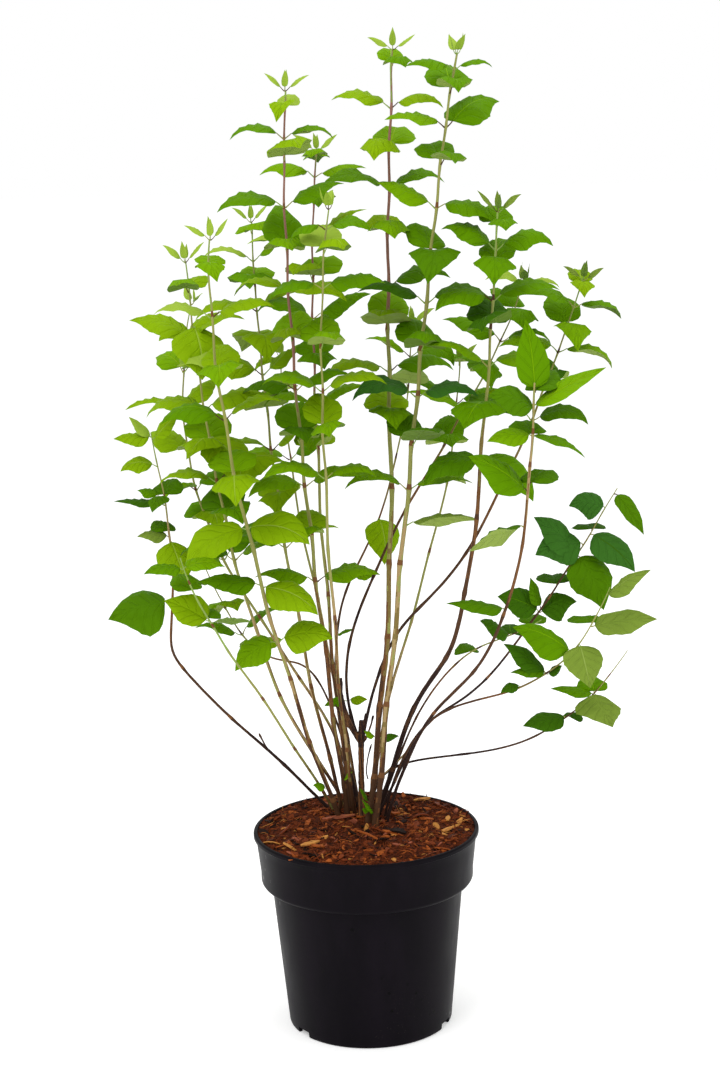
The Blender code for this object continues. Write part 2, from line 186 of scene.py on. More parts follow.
@dataclass(frozen=True)
class Effect:
    """A named shader node group that more than one finish uses."""

    name: str
    inputs: tuple[tuple[str, float], ...]
    outputs: tuple[str, ...]

    def tree(self) -> bpy.types.NodeTree:
        """Give the group's tree, built the first time it is asked for.

        Returns:
            The group's tree.
        """
        known = bpy.data.node_groups.get(self.name)
        if known:
            return known
        tree = bpy.data.node_groups.new(self.name, "ShaderNodeTree")
        for name, value in self.inputs:
            socket = tree.interface.new_socket(name=name, in_out="INPUT", socket_type="NodeSocketFloat")
            socket.default_value = value
        for name in self.outputs:
            tree.interface.new_socket(name=name, in_out="OUTPUT", socket_type="NodeSocketFloat")
        graph = Graph(tree)
        graph.node("NodeGroupOutput", self.fill(graph, graph.node("NodeGroupInput").outputs))
        return tree

    def fill(self, graph: Graph, given: Outputs) -> dict[str, bpy.types.NodeSocket]:
        """Fill the group's tree from its inputs and give what it puts out, by name."""
        raise NotImplementedError

    def add(self, graph: Graph) -> Outputs:
        """Place the group in a material and return its outputs."""
        return graph.node("Group", node_tree=self.tree()).outputs


class LeafRelief(Effect):
    """Arching side veins pressed into a blade, with a fine quilted grain between them."""

    def fill(self, graph: Graph, given: Outputs) -> dict[str, bpy.types.NodeSocket]:
        """Read the blade's own map, across and along it, and give height and roughness.

        Args:
            graph: the group's tree.
            given: the group's inputs.

        Returns:
            What the group puts out, by name.
        """
        split = graph.node("SeparateXYZ", {0: graph.node("UVMap", uv_map="blade").outputs["UV"]}).outputs
        across = graph.times(graph.math("ABSOLUTE", graph.less(split["X"], 0.5)), 2.0)
        sweep = graph.times(graph.math("POWER", across, 0.75), given["Sweep"])
        phase = graph.less(graph.times(split["Y"], given["Veins"]), sweep)
        wave = graph.times(graph.math("ABSOLUTE", graph.less(graph.math("FRACT", phase), 0.5)), 2.0)
        side_vein = graph.between(wave, 0.62, 1.0)
        midrib = graph.between(across, 0.0, 0.10, 1.0, 0.0)
        furrow = graph.math("MAXIMUM", side_vein, midrib)
        grain = graph.noise(graph.object_place(), given["Grain"], 2.0)
        worn = graph.less(grain, graph.times(furrow, 0.2))
        return {"Height": graph.plus(graph.times(furrow, -0.8), graph.times(grain, 0.12)),
                "Roughness": graph.between(worn, 0.2, 0.8, 0.44, 0.60)}


class BarkGrain(Effect):
    """Fine ridges and pits that run up and down a stem."""

    def fill(self, graph: Graph, given: Outputs) -> dict[str, bpy.types.NodeSocket]:
        """Stretch noise along Z and give height and roughness.

        Args:
            graph: the group's tree.
            given: the group's inputs.

        Returns:
            What the group puts out, by name.
        """
        streaks = graph.noise(graph.object_place((1.0, 1.0, 0.16)), given["Streaks"], 4.0, 0.65)
        pits = graph.cells(graph.object_place((1.0, 1.0, 0.45)), given["Pits"])
        return {"Height": graph.plus(streaks, graph.between(pits, 0.08, 0.30, -0.5, 0.0)),
                "Roughness": graph.between(streaks, 0.3, 0.7, 0.50, 0.80)}


class Moulding(Effect):
    """The skin of moulded plastic: faint flow marks, dust that has settled, and dull splash marks."""

    def fill(self, graph: Graph, given: Outputs) -> dict[str, bpy.types.NodeSocket]:
        """Give masks for dust, film and splashes, height and roughness.

        Args:
            graph: the group's tree.
            given: the group's inputs.

        Returns:
            What the group puts out, by name.
        """
        place = graph.object_place()
        flow = graph.noise(graph.object_place((1.0, 1.0, 0.35)), given["Flow"], 4.0, 0.6)
        fine = graph.noise(place, given["Skin"], 2.0, 0.5)
        patchy = graph.between(graph.noise(place, 9.0, 3.0), 0.52, 0.72)
        specks = graph.between(graph.cells(place, given["Specks"]), 0.05, 0.16, 1.0, 0.0)
        dust = graph.times(specks, patchy)
        wetted = graph.between(graph.noise(place, 16.0, 1.0), 0.58, 0.62)
        drops = graph.cells(graph.object_place((1.0, 1.0, 0.8)), given["Splashes"])
        splashes = graph.times(graph.between(drops, 0.13, 0.22, 1.0, 0.0), wetted)
        rough = graph.less(graph.between(flow, 0.3, 0.7, 0.36, 0.50), graph.times(splashes, 0.18))
        return {"Dust": dust, "Film": flow, "Splash": splashes,
                "Height": graph.plus(graph.times(fine, 0.4), graph.times(flow, 0.6)),
                "Roughness": graph.plus(rough, graph.times(dust, 0.35))}


class Crumb(Effect):
    """The grain of rotted bark and coir: fibres and crumbs, with painted shade in the low gaps between them."""

    def fill(self, graph: Graph, given: Outputs) -> dict[str, bpy.types.NodeSocket]:
        """Give a mask of painted shade for the low gaps, a mask for the pale fibres, and a height.

        Args:
            graph: the group's tree.
            given: the group's inputs.

        Returns:
            What the group puts out, by name.
        """
        clods = graph.noise(graph.object_place(), given["Clods"], 5.0, 0.7)
        strands = graph.math("MAXIMUM", *(graph.noise(graph.object_place(stretch), given["Fibres"], 3.0, 0.6)
                                          for stretch in ((1.0, 0.35, 1.0), (0.35, 1.0, 1.0))))
        # the first mask is painted shade: it darkens where the clod noise is low, which is where the bump dips
        return {"GapShade": graph.between(clods, 0.36, 0.56, 1.0, 0.0), "Light": graph.between(strands, 0.56, 0.70),
                "Height": graph.plus(clods, graph.times(strands, 0.6))}


LEAF_RELIEF = LeafRelief("leaf_relief", (("Veins", 5.0), ("Sweep", 1.6), ("Grain", 300.0)), ("Height", "Roughness"))
BARK_GRAIN = BarkGrain("bark_grain", (("Streaks", 900.0), ("Pits", 420.0)), ("Height", "Roughness"))
MOULDING = Moulding("moulding", (("Flow", 26.0), ("Skin", 900.0), ("Specks", 300.0), ("Splashes", 95.0)),
                    ("Dust", "Film", "Splash", "Height", "Roughness"))
CRUMB = Crumb("crumb", (("Clods", 210.0), ("Fibres", 700.0)), ("GapShade", "Light", "Height"))


# ---------------- finishes


@dataclass(frozen=True)
class Finish:
    """A surface finish with one base colour. Its kind says which effect gives it grain and relief."""

    name: str
    colour: tuple[float, float, float]
    roughness: float
    specular: float
    relief: float  # strength of its bump
    depth: float  # of the bump, in metres

    def shader(self) -> tuple[bpy.types.Material, Graph, bpy.types.Node]:
        """Make the material and set what is the same all over it.

        Returns:
            The material, its graph and its Principled node.
        """
        material = bpy.data.materials.new(self.name)
        material.use_nodes = True
        graph = Graph(material.node_tree)
        shader = material.node_tree.nodes["Principled BSDF"]
        graph.feed(shader, {"Base Color": (*self.colour, 1.0), "Roughness": self.roughness,
                            "Specular IOR Level": self.specular})
        return material, graph, shader

    def emboss(self, graph: Graph, shader: bpy.types.Node, height: bpy.types.NodeSocket) -> None:
        """Feed a height to the shader's normal through a Bump node."""
        bump = graph.node("Bump", {"Strength": self.relief, "Distance": self.depth, "Height": height})
        graph.feed(shader, {"Normal": bump.outputs["Normal"]})

    def material(self) -> bpy.types.Material:
        """Make the finished material, or give the one made before."""
        known = bpy.data.materials.get(self.name)
        return known if known else self.dress()

    def dress(self) -> bpy.types.Material:
        """Make the material with its own effect."""
        raise NotImplementedError


@dataclass(frozen=True)
class GrainFinish(Finish):
    """A finish of one colour that takes its roughness and relief from an effect."""

    effect: Effect = BARK_GRAIN

    def dress(self) -> bpy.types.Material:
        """Make the material.

        Returns:
            The material.
        """
        material, graph, shader = self.shader()
        grain = self.effect.add(graph)
        graph.feed(shader, {"Roughness": grain["Roughness"]})
        self.emboss(graph, shader, grain["Height"])
        return material


@dataclass(frozen=True)
class PlasticFinish(Finish):
    """Black moulded plastic with a film of dust."""

    film: tuple[float, float, float] = paint(17, 12, 19)
    dust: tuple[float, float, float] = paint(84, 76, 70)
    splash: tuple[float, float, float] = paint(4, 3, 5)

    def dress(self) -> bpy.types.Material:
        """Make the material.

        Returns:
            The material.
        """
        material, graph, shader = self.shader()
        skin = MOULDING.add(graph)
        filmed = graph.blend(graph.between(skin["Film"], 0.35, 0.75), self.colour, self.film)
        splashed = graph.blend(skin["Splash"], filmed, self.splash)
        dusted = graph.blend(graph.times(skin["Dust"], 0.5), splashed, self.dust)
        graph.feed(shader, {"Base Color": dusted, "Roughness": skin["Roughness"]})
        self.emboss(graph, shader, skin["Height"])
        return material


@dataclass(frozen=True)
class FillFinish(Finish):
    """Rotted bark and coir, with painted shade in its gaps, and pale on its fibres."""

    # painted shade: the colour laid into the low gaps between crumbs
    dark: tuple[float, float, float] = paint(28, 12, 7)
    light: tuple[float, float, float] = paint(134, 66, 30)

    def dress(self) -> bpy.types.Material:
        """Make the material.

        Returns:
            The material.
        """
        material, graph, shader = self.shader()
        crumb = CRUMB.add(graph)
        lit = graph.blend(graph.times(crumb["Light"], 0.6), self.colour, self.light)
        # painted shade darkens the low gaps between crumbs
        graph.feed(shader, {"Base Color": graph.blend(crumb["GapShade"], lit, self.dark)})
        self.emboss(graph, shader, crumb["Height"])
        return material


def blade(name: str, *colour: int, roughness: float = 0.5, relief: float = 0.65, depth: float = 0.0012) -> Finish:
    """Make a leaf's tint with pressed veins."""
    return GrainFinish(f"blade_{name}", paint(*colour), roughness, 0.02, relief, depth, LEAF_RELIEF)


def bark(name: str, *colour: int, roughness: float = 0.7, relief: float = 0.5, depth: float = 0.0003) -> Finish:
    """Make a tone of bark with ridges and pits."""
    return GrainFinish(f"bark_{name}", paint(*colour), roughness, 0.12, relief, depth)


def litter(name: str, *colour: int, relief: float = 0.5) -> Finish:
    """Make a tone of the dull bits that lie on the fill."""
    return GrainFinish(f"litter_{name}", paint(*colour), 0.9, 0.1, relief, 0.0004)


class Palette(Enum):
    """Finishes that the faces of a piece are dealt, in the order of its material slots."""

    @classmethod
    def finishes(cls) -> list[Finish]:
        """List the finishes in order."""
        return [member.value for member in cls]

    @property
    def slot(self) -> int:
        """Number of this finish's material slot."""
        return list(type(self)).index(self)


class Tint(Palette):
    """The leaf colours that sprays are dealt, from youngest to oldest, and the two undersides."""

    YOUNG = blade("young", 146, 174, 58, relief=0.30, depth=0.0008)
    BRIGHT = blade("bright", 128, 164, 8)
    MID = blade("mid", 110, 154, 4)
    GRASS = blade("grass", 90, 136, 2)
    DEEP = blade("deep", 76, 119, 4)
    DARK = blade("dark", 58, 99, 10)
    BLUE = blade("blue", 58, 106, 34)
    SAGE = blade("sage", 118, 142, 52)
    PALE_UNDER = blade("pale_under", 138, 160, 74, roughness=0.6)
    GREY_UNDER = blade("grey_under", 104, 132, 52, roughness=0.6)


class Bark(Palette):
    """The tones of bark that a stem's faces are dealt."""

    NIGHT = bark("night", 46, 30, 26, relief=0.6, depth=0.0004)
    DARK = bark("dark", 78, 52, 34, relief=0.6, depth=0.0004)
    BROWN = bark("brown", 114, 76, 44, relief=0.6, depth=0.0004)
    RUST = bark("rust", 146, 90, 44)
    KHAKI = bark("khaki", 126, 108, 60)
    TAN = bark("tan", 164, 140, 96)
    OLIVE = bark("olive", 148, 148, 82, roughness=0.65, relief=0.3)
    GREEN = bark("green", 138, 162, 82, roughness=0.6, relief=0.2)
    PLUM = bark("plum", 148, 104, 92, roughness=0.6, relief=0.3)


class Litter(Palette):
    """The tones of the bits that lie on the fill."""

    SOOT = litter("soot", 30, 15, 9)
    UMBER = litter("umber", 72, 32, 16)
    RUST = litter("rust", 118, 54, 24)
    ORANGE = litter("orange", 164, 84, 34)
    STRAW = litter("straw", 196, 134, 66, relief=0.4)
    ROSE = litter("rose", 166, 92, 66, relief=0.4)


POT_FINISH = PlasticFinish("pot_plastic", paint(9, 6, 11), 0.40, 0.05, 0.12, 0.0003)
FILL_FINISH = FillFinish("fill_crumb", paint(98, 42, 18), 0.95, 0.1, 1.0, 0.0024)
FLOOR_COLOUR = paint(250, 250, 250)
WHITE = (1.0, 1.0, 1.0, 1.0)


# ---------------- shared modelling steps


def clear_selection() -> None:
    """Leave object mode with nothing selected."""
    if bpy.context.mode != "OBJECT":
        bpy.ops.object.mode_set(mode="OBJECT")
    bpy.ops.object.select_all(action="DESELECT")


def make_active(*things: bpy.types.Object) -> None:
    """Select only these objects and make the first the active one.

    Args:
        *things: the objects.
    """
    clear_selection()
    for thing in things:
        thing.select_set(True)
    bpy.context.view_layer.objects.active = things[0]


def join(things: list[bpy.types.Object]) -> bpy.types.Object:
    """Join objects into the first of them.

    Args:
        things: the objects, the one that is kept first.

    Returns:
        The joined object.
    """
    make_active(*things)
    bpy.ops.object.join()
    return things[0]


def link(name: str, data: bpy.types.ID) -> bpy.types.Object:
    """Make an object of some data and put it in the scene.

    Args:
        name: the object's name.
        data: its mesh, light or other data.

    Returns:
        The object.
    """
    thing = bpy.data.objects.new(name, data)
    bpy.context.scene.collection.objects.link(thing)
    return thing


def new_part(name: str) -> bpy.types.Object:
    """Name the object that a primitive has just made and return it.

    Args:
        name: its name.

    Returns:
        The object.
    """
    made = bpy.context.active_object
    made.name = name
    made.data.name = name
    return made


def apply_modifier(thing: bpy.types.Object, kind: str, **settings: object) -> None:
    """Add a modifier and apply it at once.

    Args:
        thing: the object it changes.
        kind: the modifier's type.
        settings: its properties.
    """
    make_active(thing)
    modifier = thing.modifiers.new(kind.title(), kind)
    for key, value in settings.items():
        setattr(modifier, key, value)
    bpy.ops.object.modifier_apply(modifier=modifier.name)


def settle(thing: bpy.types.Object, slot: str, *nodes: str) -> None:
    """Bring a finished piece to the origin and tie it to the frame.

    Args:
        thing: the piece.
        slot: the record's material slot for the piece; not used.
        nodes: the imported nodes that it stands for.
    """
    make_active(thing)
    bpy.ops.object.transform_apply(location=True, rotation=True, scale=True)
    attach(thing, BODY)
    if nodes:
        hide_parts(*nodes)
    LOG.info("%s: %d faces", thing.name, len(thing.data.polygons))


def wear(mesh: bpy.types.Mesh, finishes: Iterable[Finish]) -> None:
    """Give a mesh its material slots, in order.

    Args:
        mesh: the mesh.
        finishes: its finishes, in the order of their slots.
    """
    mesh.materials.clear()
    for finish in finishes:
        mesh.materials.append(finish.material())


def cloud(name: str, size: float) -> bpy.types.Texture:
    """Make a cloud texture for a displacement.

    Args:
        name: the texture's name.
        size: size of its clouds.

    Returns:
        The texture.
    """
    texture = bpy.data.textures.new(name, "CLOUDS")
    texture.noise_scale = size
    texture.noise_depth = 3
    return texture


def face_slots(numbers: np.ndarray, faces: np.ndarray) -> np.ndarray:
    """Give every face of each copy the slot that its copy is dealt."""
    return np.repeat(numbers[:, None], len(faces), axis=1)


@dataclass
class Heap:
    """Faces gathered from many small shapes, to be made one joined mesh."""

    corners: list = field(default_factory=list)
    faces: list = field(default_factory=list)
    slots: list = field(default_factory=list)
    maps: list = field(default_factory=list)
    count: int = 0

    def add(self, points: np.ndarray, faces: np.ndarray, slots: np.ndarray,
            places: np.ndarray | None = None) -> None:
        """Add many copies of one layout of faces.

        Args:
            points: corners of each copy, (copies, corners, 3).
            faces: one copy's faces as corner numbers, (faces, 4), with -1 last in a triangle.
            slots: material slot of each face of each copy, (copies, faces).
            places: map place of each corner of one copy, (corners, 2).
        """
        copies, each = points.shape[:2]
        shift = (self.count + each * np.arange(copies))[:, None, None]
        numbered = np.where(faces[None] < 0, -1, faces[None] + shift)
        self.corners.append(points.reshape(-1, 3))
        self.faces.append(numbered.reshape(-1, 4))
        self.slots.append(np.broadcast_to(slots, (copies, len(faces))).reshape(-1))
        if places is not None:
            self.maps.append(np.tile(places, (copies, 1)))
        self.count += copies * each

    def build(self, name: str, finishes: Iterable[Finish], sharp: float = 1.2) -> bpy.types.Object:
        """Make the joined mesh.

        Args:
            name: the piece's name.
            finishes: its material slots, in order.
            sharp: angle between faces, in radians, past which an edge stays crisp.

        Returns:
            The piece.
        """
        mesh = bpy.data.meshes.new(name)
        faces = [face[:3] if face[3] < 0 else face for face in np.concatenate(self.faces).tolist()]
        mesh.from_pydata(np.concatenate(self.corners), [], faces)
        wear(mesh, finishes)
        mesh.polygons.foreach_set("material_index", np.concatenate(self.slots).astype(np.int32))
        if self.maps:
            places = np.concatenate(self.maps)
            corner = np.empty(len(mesh.loops), np.int32)
            mesh.loops.foreach_get("vertex_index", corner)
            mesh.uv_layers.new(name="blade").data.foreach_set("uv", places[corner].astype(np.float32).reshape(-1))
        mesh.validate()
        thing = link(name, mesh)
        make_active(thing)
        bpy.ops.object.shade_smooth_by_angle(angle=sharp)
        return thing


def tube_faces(rings: int, sides: int) -> np.ndarray:
    """Lay out the faces of a closed tube whose ends are drawn to a point.

    Args:
        rings: rings of corners along it.
        sides: corners in each ring.

    Returns:
        Faces as corner numbers. The two end points come after all the rings.
    """
    ring, side = np.meshgrid(np.arange(rings - 1), np.arange(sides), indexing="ij")
    after = (side + 1) % sides
    low, high = ring * sides, (ring + 1) * sides
    walls = np.stack((low + side, low + after, high + after, high + side), axis=-1).reshape(-1, 4)
    side, after = side[0], after[0]
    none = np.full(sides, -1)
    foot, tip, top = rings * sides, rings * sides + 1, (rings - 1) * sides
    first = np.stack((np.full(sides, foot), after, side, none), axis=-1)
    last = np.stack((np.full(sides, tip), top + side, top + after, none), axis=-1)
    return np.concatenate((walls, first, last))


def unit(vectors: np.ndarray) -> np.ndarray:
    """Scale vectors along the last axis to length 1."""
    return vectors / np.maximum(np.linalg.norm(vectors, axis=-1, keepdims=True), 1e-9)


FOOT_REACH, TIP_REACH = 0.3, 0.6  # how far the ends of a swept tube come to a point, in its radii


def sweep(lines: np.ndarray, radii: np.ndarray, sides: int, guide: np.ndarray) -> np.ndarray:
    """Sweep round sections along many lines of the same number of points.

    Args:
        lines: points of each line, (lines, rings, 3).
        radii: radius at each ring, (lines, rings) or (lines, rings, sides).
        sides: corners in each ring.
        guide: a direction that is never along a line, for where each ring starts.

    Returns:
        Corners of each tube, rings first and then its two end points.
    """
    heading = unit(np.gradient(lines, axis=1))
    first = unit(guide - (heading @ guide)[..., None] * heading)
    second = np.cross(heading, first)
    angle = math.tau * np.arange(sides) / sides
    wide = radii[..., None] if radii.ndim == 2 else radii
    ring = (first[:, :, None] * np.cos(angle)[:, None] + second[:, :, None] * np.sin(angle)[:, None])
    corners = lines[:, :, None] + ring * np.broadcast_to(wide, ring.shape[:3])[..., None]
    end = radii.reshape(*radii.shape[:2], -1).mean(axis=2)
    foot = lines[:, 0] - heading[:, 0] * end[:, :1] * FOOT_REACH
    tip = lines[:, -1] + heading[:, -1] * end[:, -1:] * TIP_REACH
    return np.concatenate((corners.reshape(len(lines), -1, 3), foot[:, None], tip[:, None]), axis=1)


# ---------------- pot


def ring_point(radius: float, bearing: float, height: float) -> tuple[float, float, float]:
    """Give the point at a distance and bearing from the upright axis."""
    return radius * math.cos(bearing), radius * math.sin(bearing), height


@dataclass
class Pot:
    """A thin black pot with a deep collar, a notched foot and a raised floor."""

    lip_height: float = 0.005
    lip_proud: float = 0.0024
    collar_foot_radius: float = 0.1085
    collar_foot_height: float = 0.162
    shoulder_radius: float = 0.098
    shoulder_height: float = 0.150
    shoulder_corner: float = 0.0045
    base_radius: float = 0.084
    wall: float = 0.0018
    foot_width: float = 0.0042
    floor_height: float = 0.0085
    pad_radius: float = 0.048
    sides: int = 144
    notch_count: int = 3
    notch_bearing: float = math.radians(95.0)
    notch_width: float = 0.0185
    notch_height: float = 0.0062
    drain_count: int = 9
    drain_radius: float = 0.0045
    drain_circle: float = 0.0640
    drain_sides: int = 20
    corner_steps: int = 6  # steps round a rounded corner
    edge: float = 0.0006  # how far a sharp edge is taken off
    crease: float = 0.0008  # the same where the shoulder meets the body
    crease_drop: float = 0.0010
    seam: float = 0.0002  # how far the lip's foot stands off the collar
    below_lip: float = 0.001
    notch_edge: float = 0.0011
    foot_edge: tuple = ((0.0010, 0.0), (0.0002, 0.0005))  # in and up
    foot_top: float = 0.0014
    above_notch: float = 0.0012
    body_heights: tuple = (0.02, 0.05, 0.08, 0.11, 0.135, 0.147)
    collar_heights: tuple = (0.190, 0.175)
    bead_share: float = 0.8  # the lip's bead against how proud it stands
    lip_inside: tuple = ((0.0, 0.0012), (0.0003, 0.0004), (0.0010, 0.0))  # out and down
    crisp: float = math.radians(32.0)

    def __post_init__(self) -> None:
        """Take the pot's height and rim from the frame."""
        low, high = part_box("pot")
        self.height = high.z - low.z
        self.rim_radius = high.x

    def body_radius(self, height: float) -> float:
        """Give the outer radius of the tapering body below the shoulder."""
        return self.base_radius + (self.shoulder_radius - self.base_radius) * height / self.shoulder_height

    def collar_radius(self, height: float) -> float:
        """Give the outer radius of the collar below the lip.

        Args:
            height: height above the floor.

        Returns:
            The radius.
        """
        lip_foot = self.height - self.lip_height
        share = (height - self.collar_foot_height) / (lip_foot - self.collar_foot_height)
        return self.collar_foot_radius + (self.rim_radius - self.lip_proud - self.collar_foot_radius) * share

    def corner(self, centre: tuple[float, float], radius: float, turns: Iterable[float]) -> list:
        """Give the points of a rounded corner at turns, in radians, above its outermost point."""
        return [(centre[0] + radius * math.cos(turn), centre[1] + radius * math.sin(turn)) for turn in turns]

    def shoulder(self) -> list[tuple[float, float]]:
        """Round the collar under at its foot and turn in to the body, going down.

        Returns:
            Radius and height of each point.
        """
        centre = (self.collar_foot_radius - self.shoulder_corner, self.shoulder_height + self.shoulder_corner)
        turns = (-math.pi / 2 * step / self.corner_steps for step in range(self.corner_steps + 1))
        return self.corner(centre, self.shoulder_corner, turns) + [
            (self.shoulder_radius + self.crease, self.shoulder_height),
            (self.body_radius(self.shoulder_height - self.crease), self.shoulder_height - self.crease_drop)]

    def lip(self) -> list[tuple[float, float]]:
        """Round the lip over from its inside edge, out and down.

        Returns:
            Radius and height of each point.
        """
        bead = self.lip_proud * self.bead_share
        turns = (math.pi / 2 * (1 - step / self.corner_steps) for step in range(self.corner_steps + 1))
        foot = self.height - self.lip_height
        inner = self.rim_radius - self.lip_proud - self.wall
        return [*((inner + out, self.height - down) for out, down in self.lip_inside),
                *self.corner((self.rim_radius - bead, self.height - bead), bead, turns),
                (self.rim_radius, foot + self.edge), (self.rim_radius - self.edge, foot),
                (self.collar_radius(foot) + self.seam, foot - self.seam),
                (self.collar_radius(foot - self.below_lip), foot - self.below_lip)]

    def profile(self) -> list[tuple[float, float]]:
        """List the section from the pad's edge, out under the foot, up, over the lip and down inside.

        Returns:
            Radius and height of each point.
        """
        foot, wall, inner_foot = self.base_radius, self.wall, self.base_radius - self.foot_width
        lip_foot = self.height - self.lip_height
        return [(self.pad_radius + wall, self.floor_height - wall), (inner_foot, self.floor_height - wall),
                (inner_foot, self.edge), (inner_foot + self.edge, 0.0),
                *((foot - inwards, up) for inwards, up in self.foot_edge),
                (self.body_radius(self.foot_top), self.foot_top),
                *((self.body_radius(height), height)
                  for height in (self.notch_height + self.above_notch, *self.body_heights)), *self.shoulder()[::-1],
                *((self.collar_radius(height), height)
                  for height in (self.collar_foot_height, *self.collar_heights[::-1])), *self.lip()[::-1],
                (self.collar_radius(lip_foot) - wall, lip_foot),
                (self.collar_foot_radius - wall, self.collar_foot_height),
                (self.collar_foot_radius - self.shoulder_corner - wall,
                 self.shoulder_height + self.shoulder_corner + wall),
                (self.body_radius(self.shoulder_height) - wall, self.shoulder_height + wall),
                (self.body_radius(self.floor_height) - wall, self.floor_height),
                (self.pad_radius, self.floor_height), (self.pad_radius - wall, wall)]

    def turn_shell(self) -> bpy.types.Object:
        """Raise the closed shell from a disc, ring by ring, along the profile.

        Returns:
            The uncut shell.
        """
        clear_selection()
        bpy.ops.mesh.primitive_circle_add(vertices=self.sides, radius=self.pad_radius, fill_type="NGON")
        shell = new_part("pot_shell")
        bpy.ops.object.mode_set(mode="EDIT")
        bpy.ops.mesh.select_mode(type="EDGE")
        bpy.ops.mesh.select_all(action="SELECT")
        bpy.ops.mesh.region_to_loop()
        radius, height = self.pad_radius, 0.0
        for next_radius, next_height in self.profile():
            bpy.ops.mesh.extrude_edges_move(TRANSFORM_OT_translate={"value": (0.0, 0.0, next_height - height)})
            scale = next_radius / radius
            bpy.ops.transform.resize(value=(scale, scale, 1.0), center_override=(0.0, 0.0, next_height))
            radius, height = next_radius, next_height
        bpy.ops.mesh.edge_face_add()
        bpy.ops.mesh.select_all(action="SELECT")
        bpy.ops.mesh.normals_make_consistent(inside=False)
        bpy.ops.object.mode_set(mode="OBJECT")
        return shell

    def cutters(self) -> bpy.types.Object:
        """Model the notches and drain holes as one joined cutter.

        Returns:
            The cutter.
        """
        made = []
        for index in range(self.notch_count):
            bearing = self.notch_bearing + math.tau * index / self.notch_count
            clear_selection()
            bpy.ops.mesh.primitive_cube_add(
                size=1.0, location=ring_point(self.base_radius - self.foot_width / 2, bearing, 0.0),
                rotation=(0.0, 0.0, bearing), scale=(self.foot_width * 3, self.notch_width, self.notch_height * 2))
            made.append(new_part(f"notch_{index}"))
            bpy.ops.object.transform_apply(location=False, rotation=False, scale=True)
            bpy.ops.object.mode_set(mode="EDIT")
            bpy.ops.mesh.select_all(action="SELECT")
            bpy.ops.mesh.bevel(offset=self.notch_edge, segments=3, affect="EDGES")
            bpy.ops.object.mode_set(mode="OBJECT")
        for index in range(self.drain_count):
            place = ring_point(self.drain_circle, math.tau * index / self.drain_count, self.floor_height)
            clear_selection()
            bpy.ops.mesh.primitive_cylinder_add(vertices=self.drain_sides, radius=self.drain_radius,
                                                depth=self.floor_height, location=place)
            made.append(new_part(f"drain_{index}"))
        return join(made)

    def build(self) -> None:
        """Make the pot."""
        shell = self.turn_shell()
        cutter = self.cutters()
        apply_modifier(shell, "BOOLEAN", object=cutter, operation="DIFFERENCE", solver="EXACT")
        bpy.data.objects.remove(cutter, do_unlink=True)
        make_active(shell)
        bpy.ops.object.shade_smooth_by_angle(angle=self.crisp)
        wear(shell.data, [POT_FINISH])
        settle(shell, "pot", "pot")


# ---------------- fill


@dataclass(frozen=True)
class Chip:
    """A chip of bark that is laid by itself. Its angles are in degrees."""

    x: float
    y: float
    length: float
    width: float
    bearing: float
    tone: Litter
    pitch: float = 4.0
    rise: float = 0.0022


CHIPS = (
    Chip(-0.002, -0.044, 0.060, 0.0022, -64, Litter.ORANGE, 8.0, 0.0050),
    Chip(-0.028, 0.019, 0.034, 0.0080, 6, Litter.ROSE),
    Chip(-0.004, 0.021, 0.012, 0.0060, 30, Litter.ORANGE),
    Chip(0.030, 0.028, 0.012, 0.0060, -30, Litter.ORANGE),
    Chip(0.024, -0.028, 0.016, 0.0050, -20, Litter.ORANGE),
    Chip(-0.014, -0.028, 0.014, 0.0060, 60, Litter.ORANGE),
    Chip(-0.056, -0.058, 0.020, 0.0070, 22, Litter.STRAW),
    Chip(-0.048, -0.066, 0.016, 0.0060, -34, Litter.ORANGE),
    Chip(0.084, 0.007, 0.012, 0.0050, 80, Litter.STRAW),
    Chip(0.082, -0.025, 0.014, 0.0055, 40, Litter.STRAW),
    Chip(0.060, 0.074, 0.018, 0.0065, 10, Litter.STRAW),
    Chip(0.022, -0.022, 0.024, 0.0110, 10, Litter.SOOT, 0.0, 0.0012),
    Chip(0.032, -0.030, 0.018, 0.0100, -30, Litter.SOOT, 0.0, 0.0012),
)


@dataclass(frozen=True)
class ChipHabit:
    """How scattered chips vary. Angles are in radians; a clip is the least and the most."""

    count: int = 820
    length: tuple[float, float] = (3.0, 0.0029)  # of a gamma spread
    length_clip: tuple[float, float] = (0.003, 0.024)
    slim: tuple[float, float] = (0.16, 0.60)  # width as a share of length
    width_clip: tuple[float, float] = (0.0010, 0.0062)
    thick: tuple[float, float] = (0.0005, 0.0016)
    laid_thick: float = 0.0014
    pitch: float = 0.30
    roll: float = 0.45
    bow: float = 0.06
    ragged: tuple[float, float] = (0.75, 1.2)
    sections: tuple = ((-0.5, 0.35), (-0.22, 0.95), (0.15, 1.0), (0.5, 0.28))  # place along, and width
    tones: tuple[float, ...] = (0.14, 0.27, 0.30, 0.18, 0.07, 0.04)


@dataclass(frozen=True)
class StrandHabit:
    """How scattered strands of coir vary. Angles are in radians; a clip is the least and the most."""

    count: int = 2600
    length: tuple[float, float] = (4.0, 0.0026)  # of a gamma spread
    length_clip: tuple[float, float] = (0.004, 0.028)
    curl: float = 0.9
    rise: float = 0.22
    arch: float = 0.14
    float_up: float = 0.0006
    points: int = 5
    sides: int = 3
    radius: tuple[float, float] = (0.00014, 0.00034)
    taper: tuple[float, ...] = (0.5, 1.0, 1.0, 0.9, 0.4)
    tones: tuple[float, ...] = (0.12, 0.40, 0.34, 0.11, 0.025, 0.005)


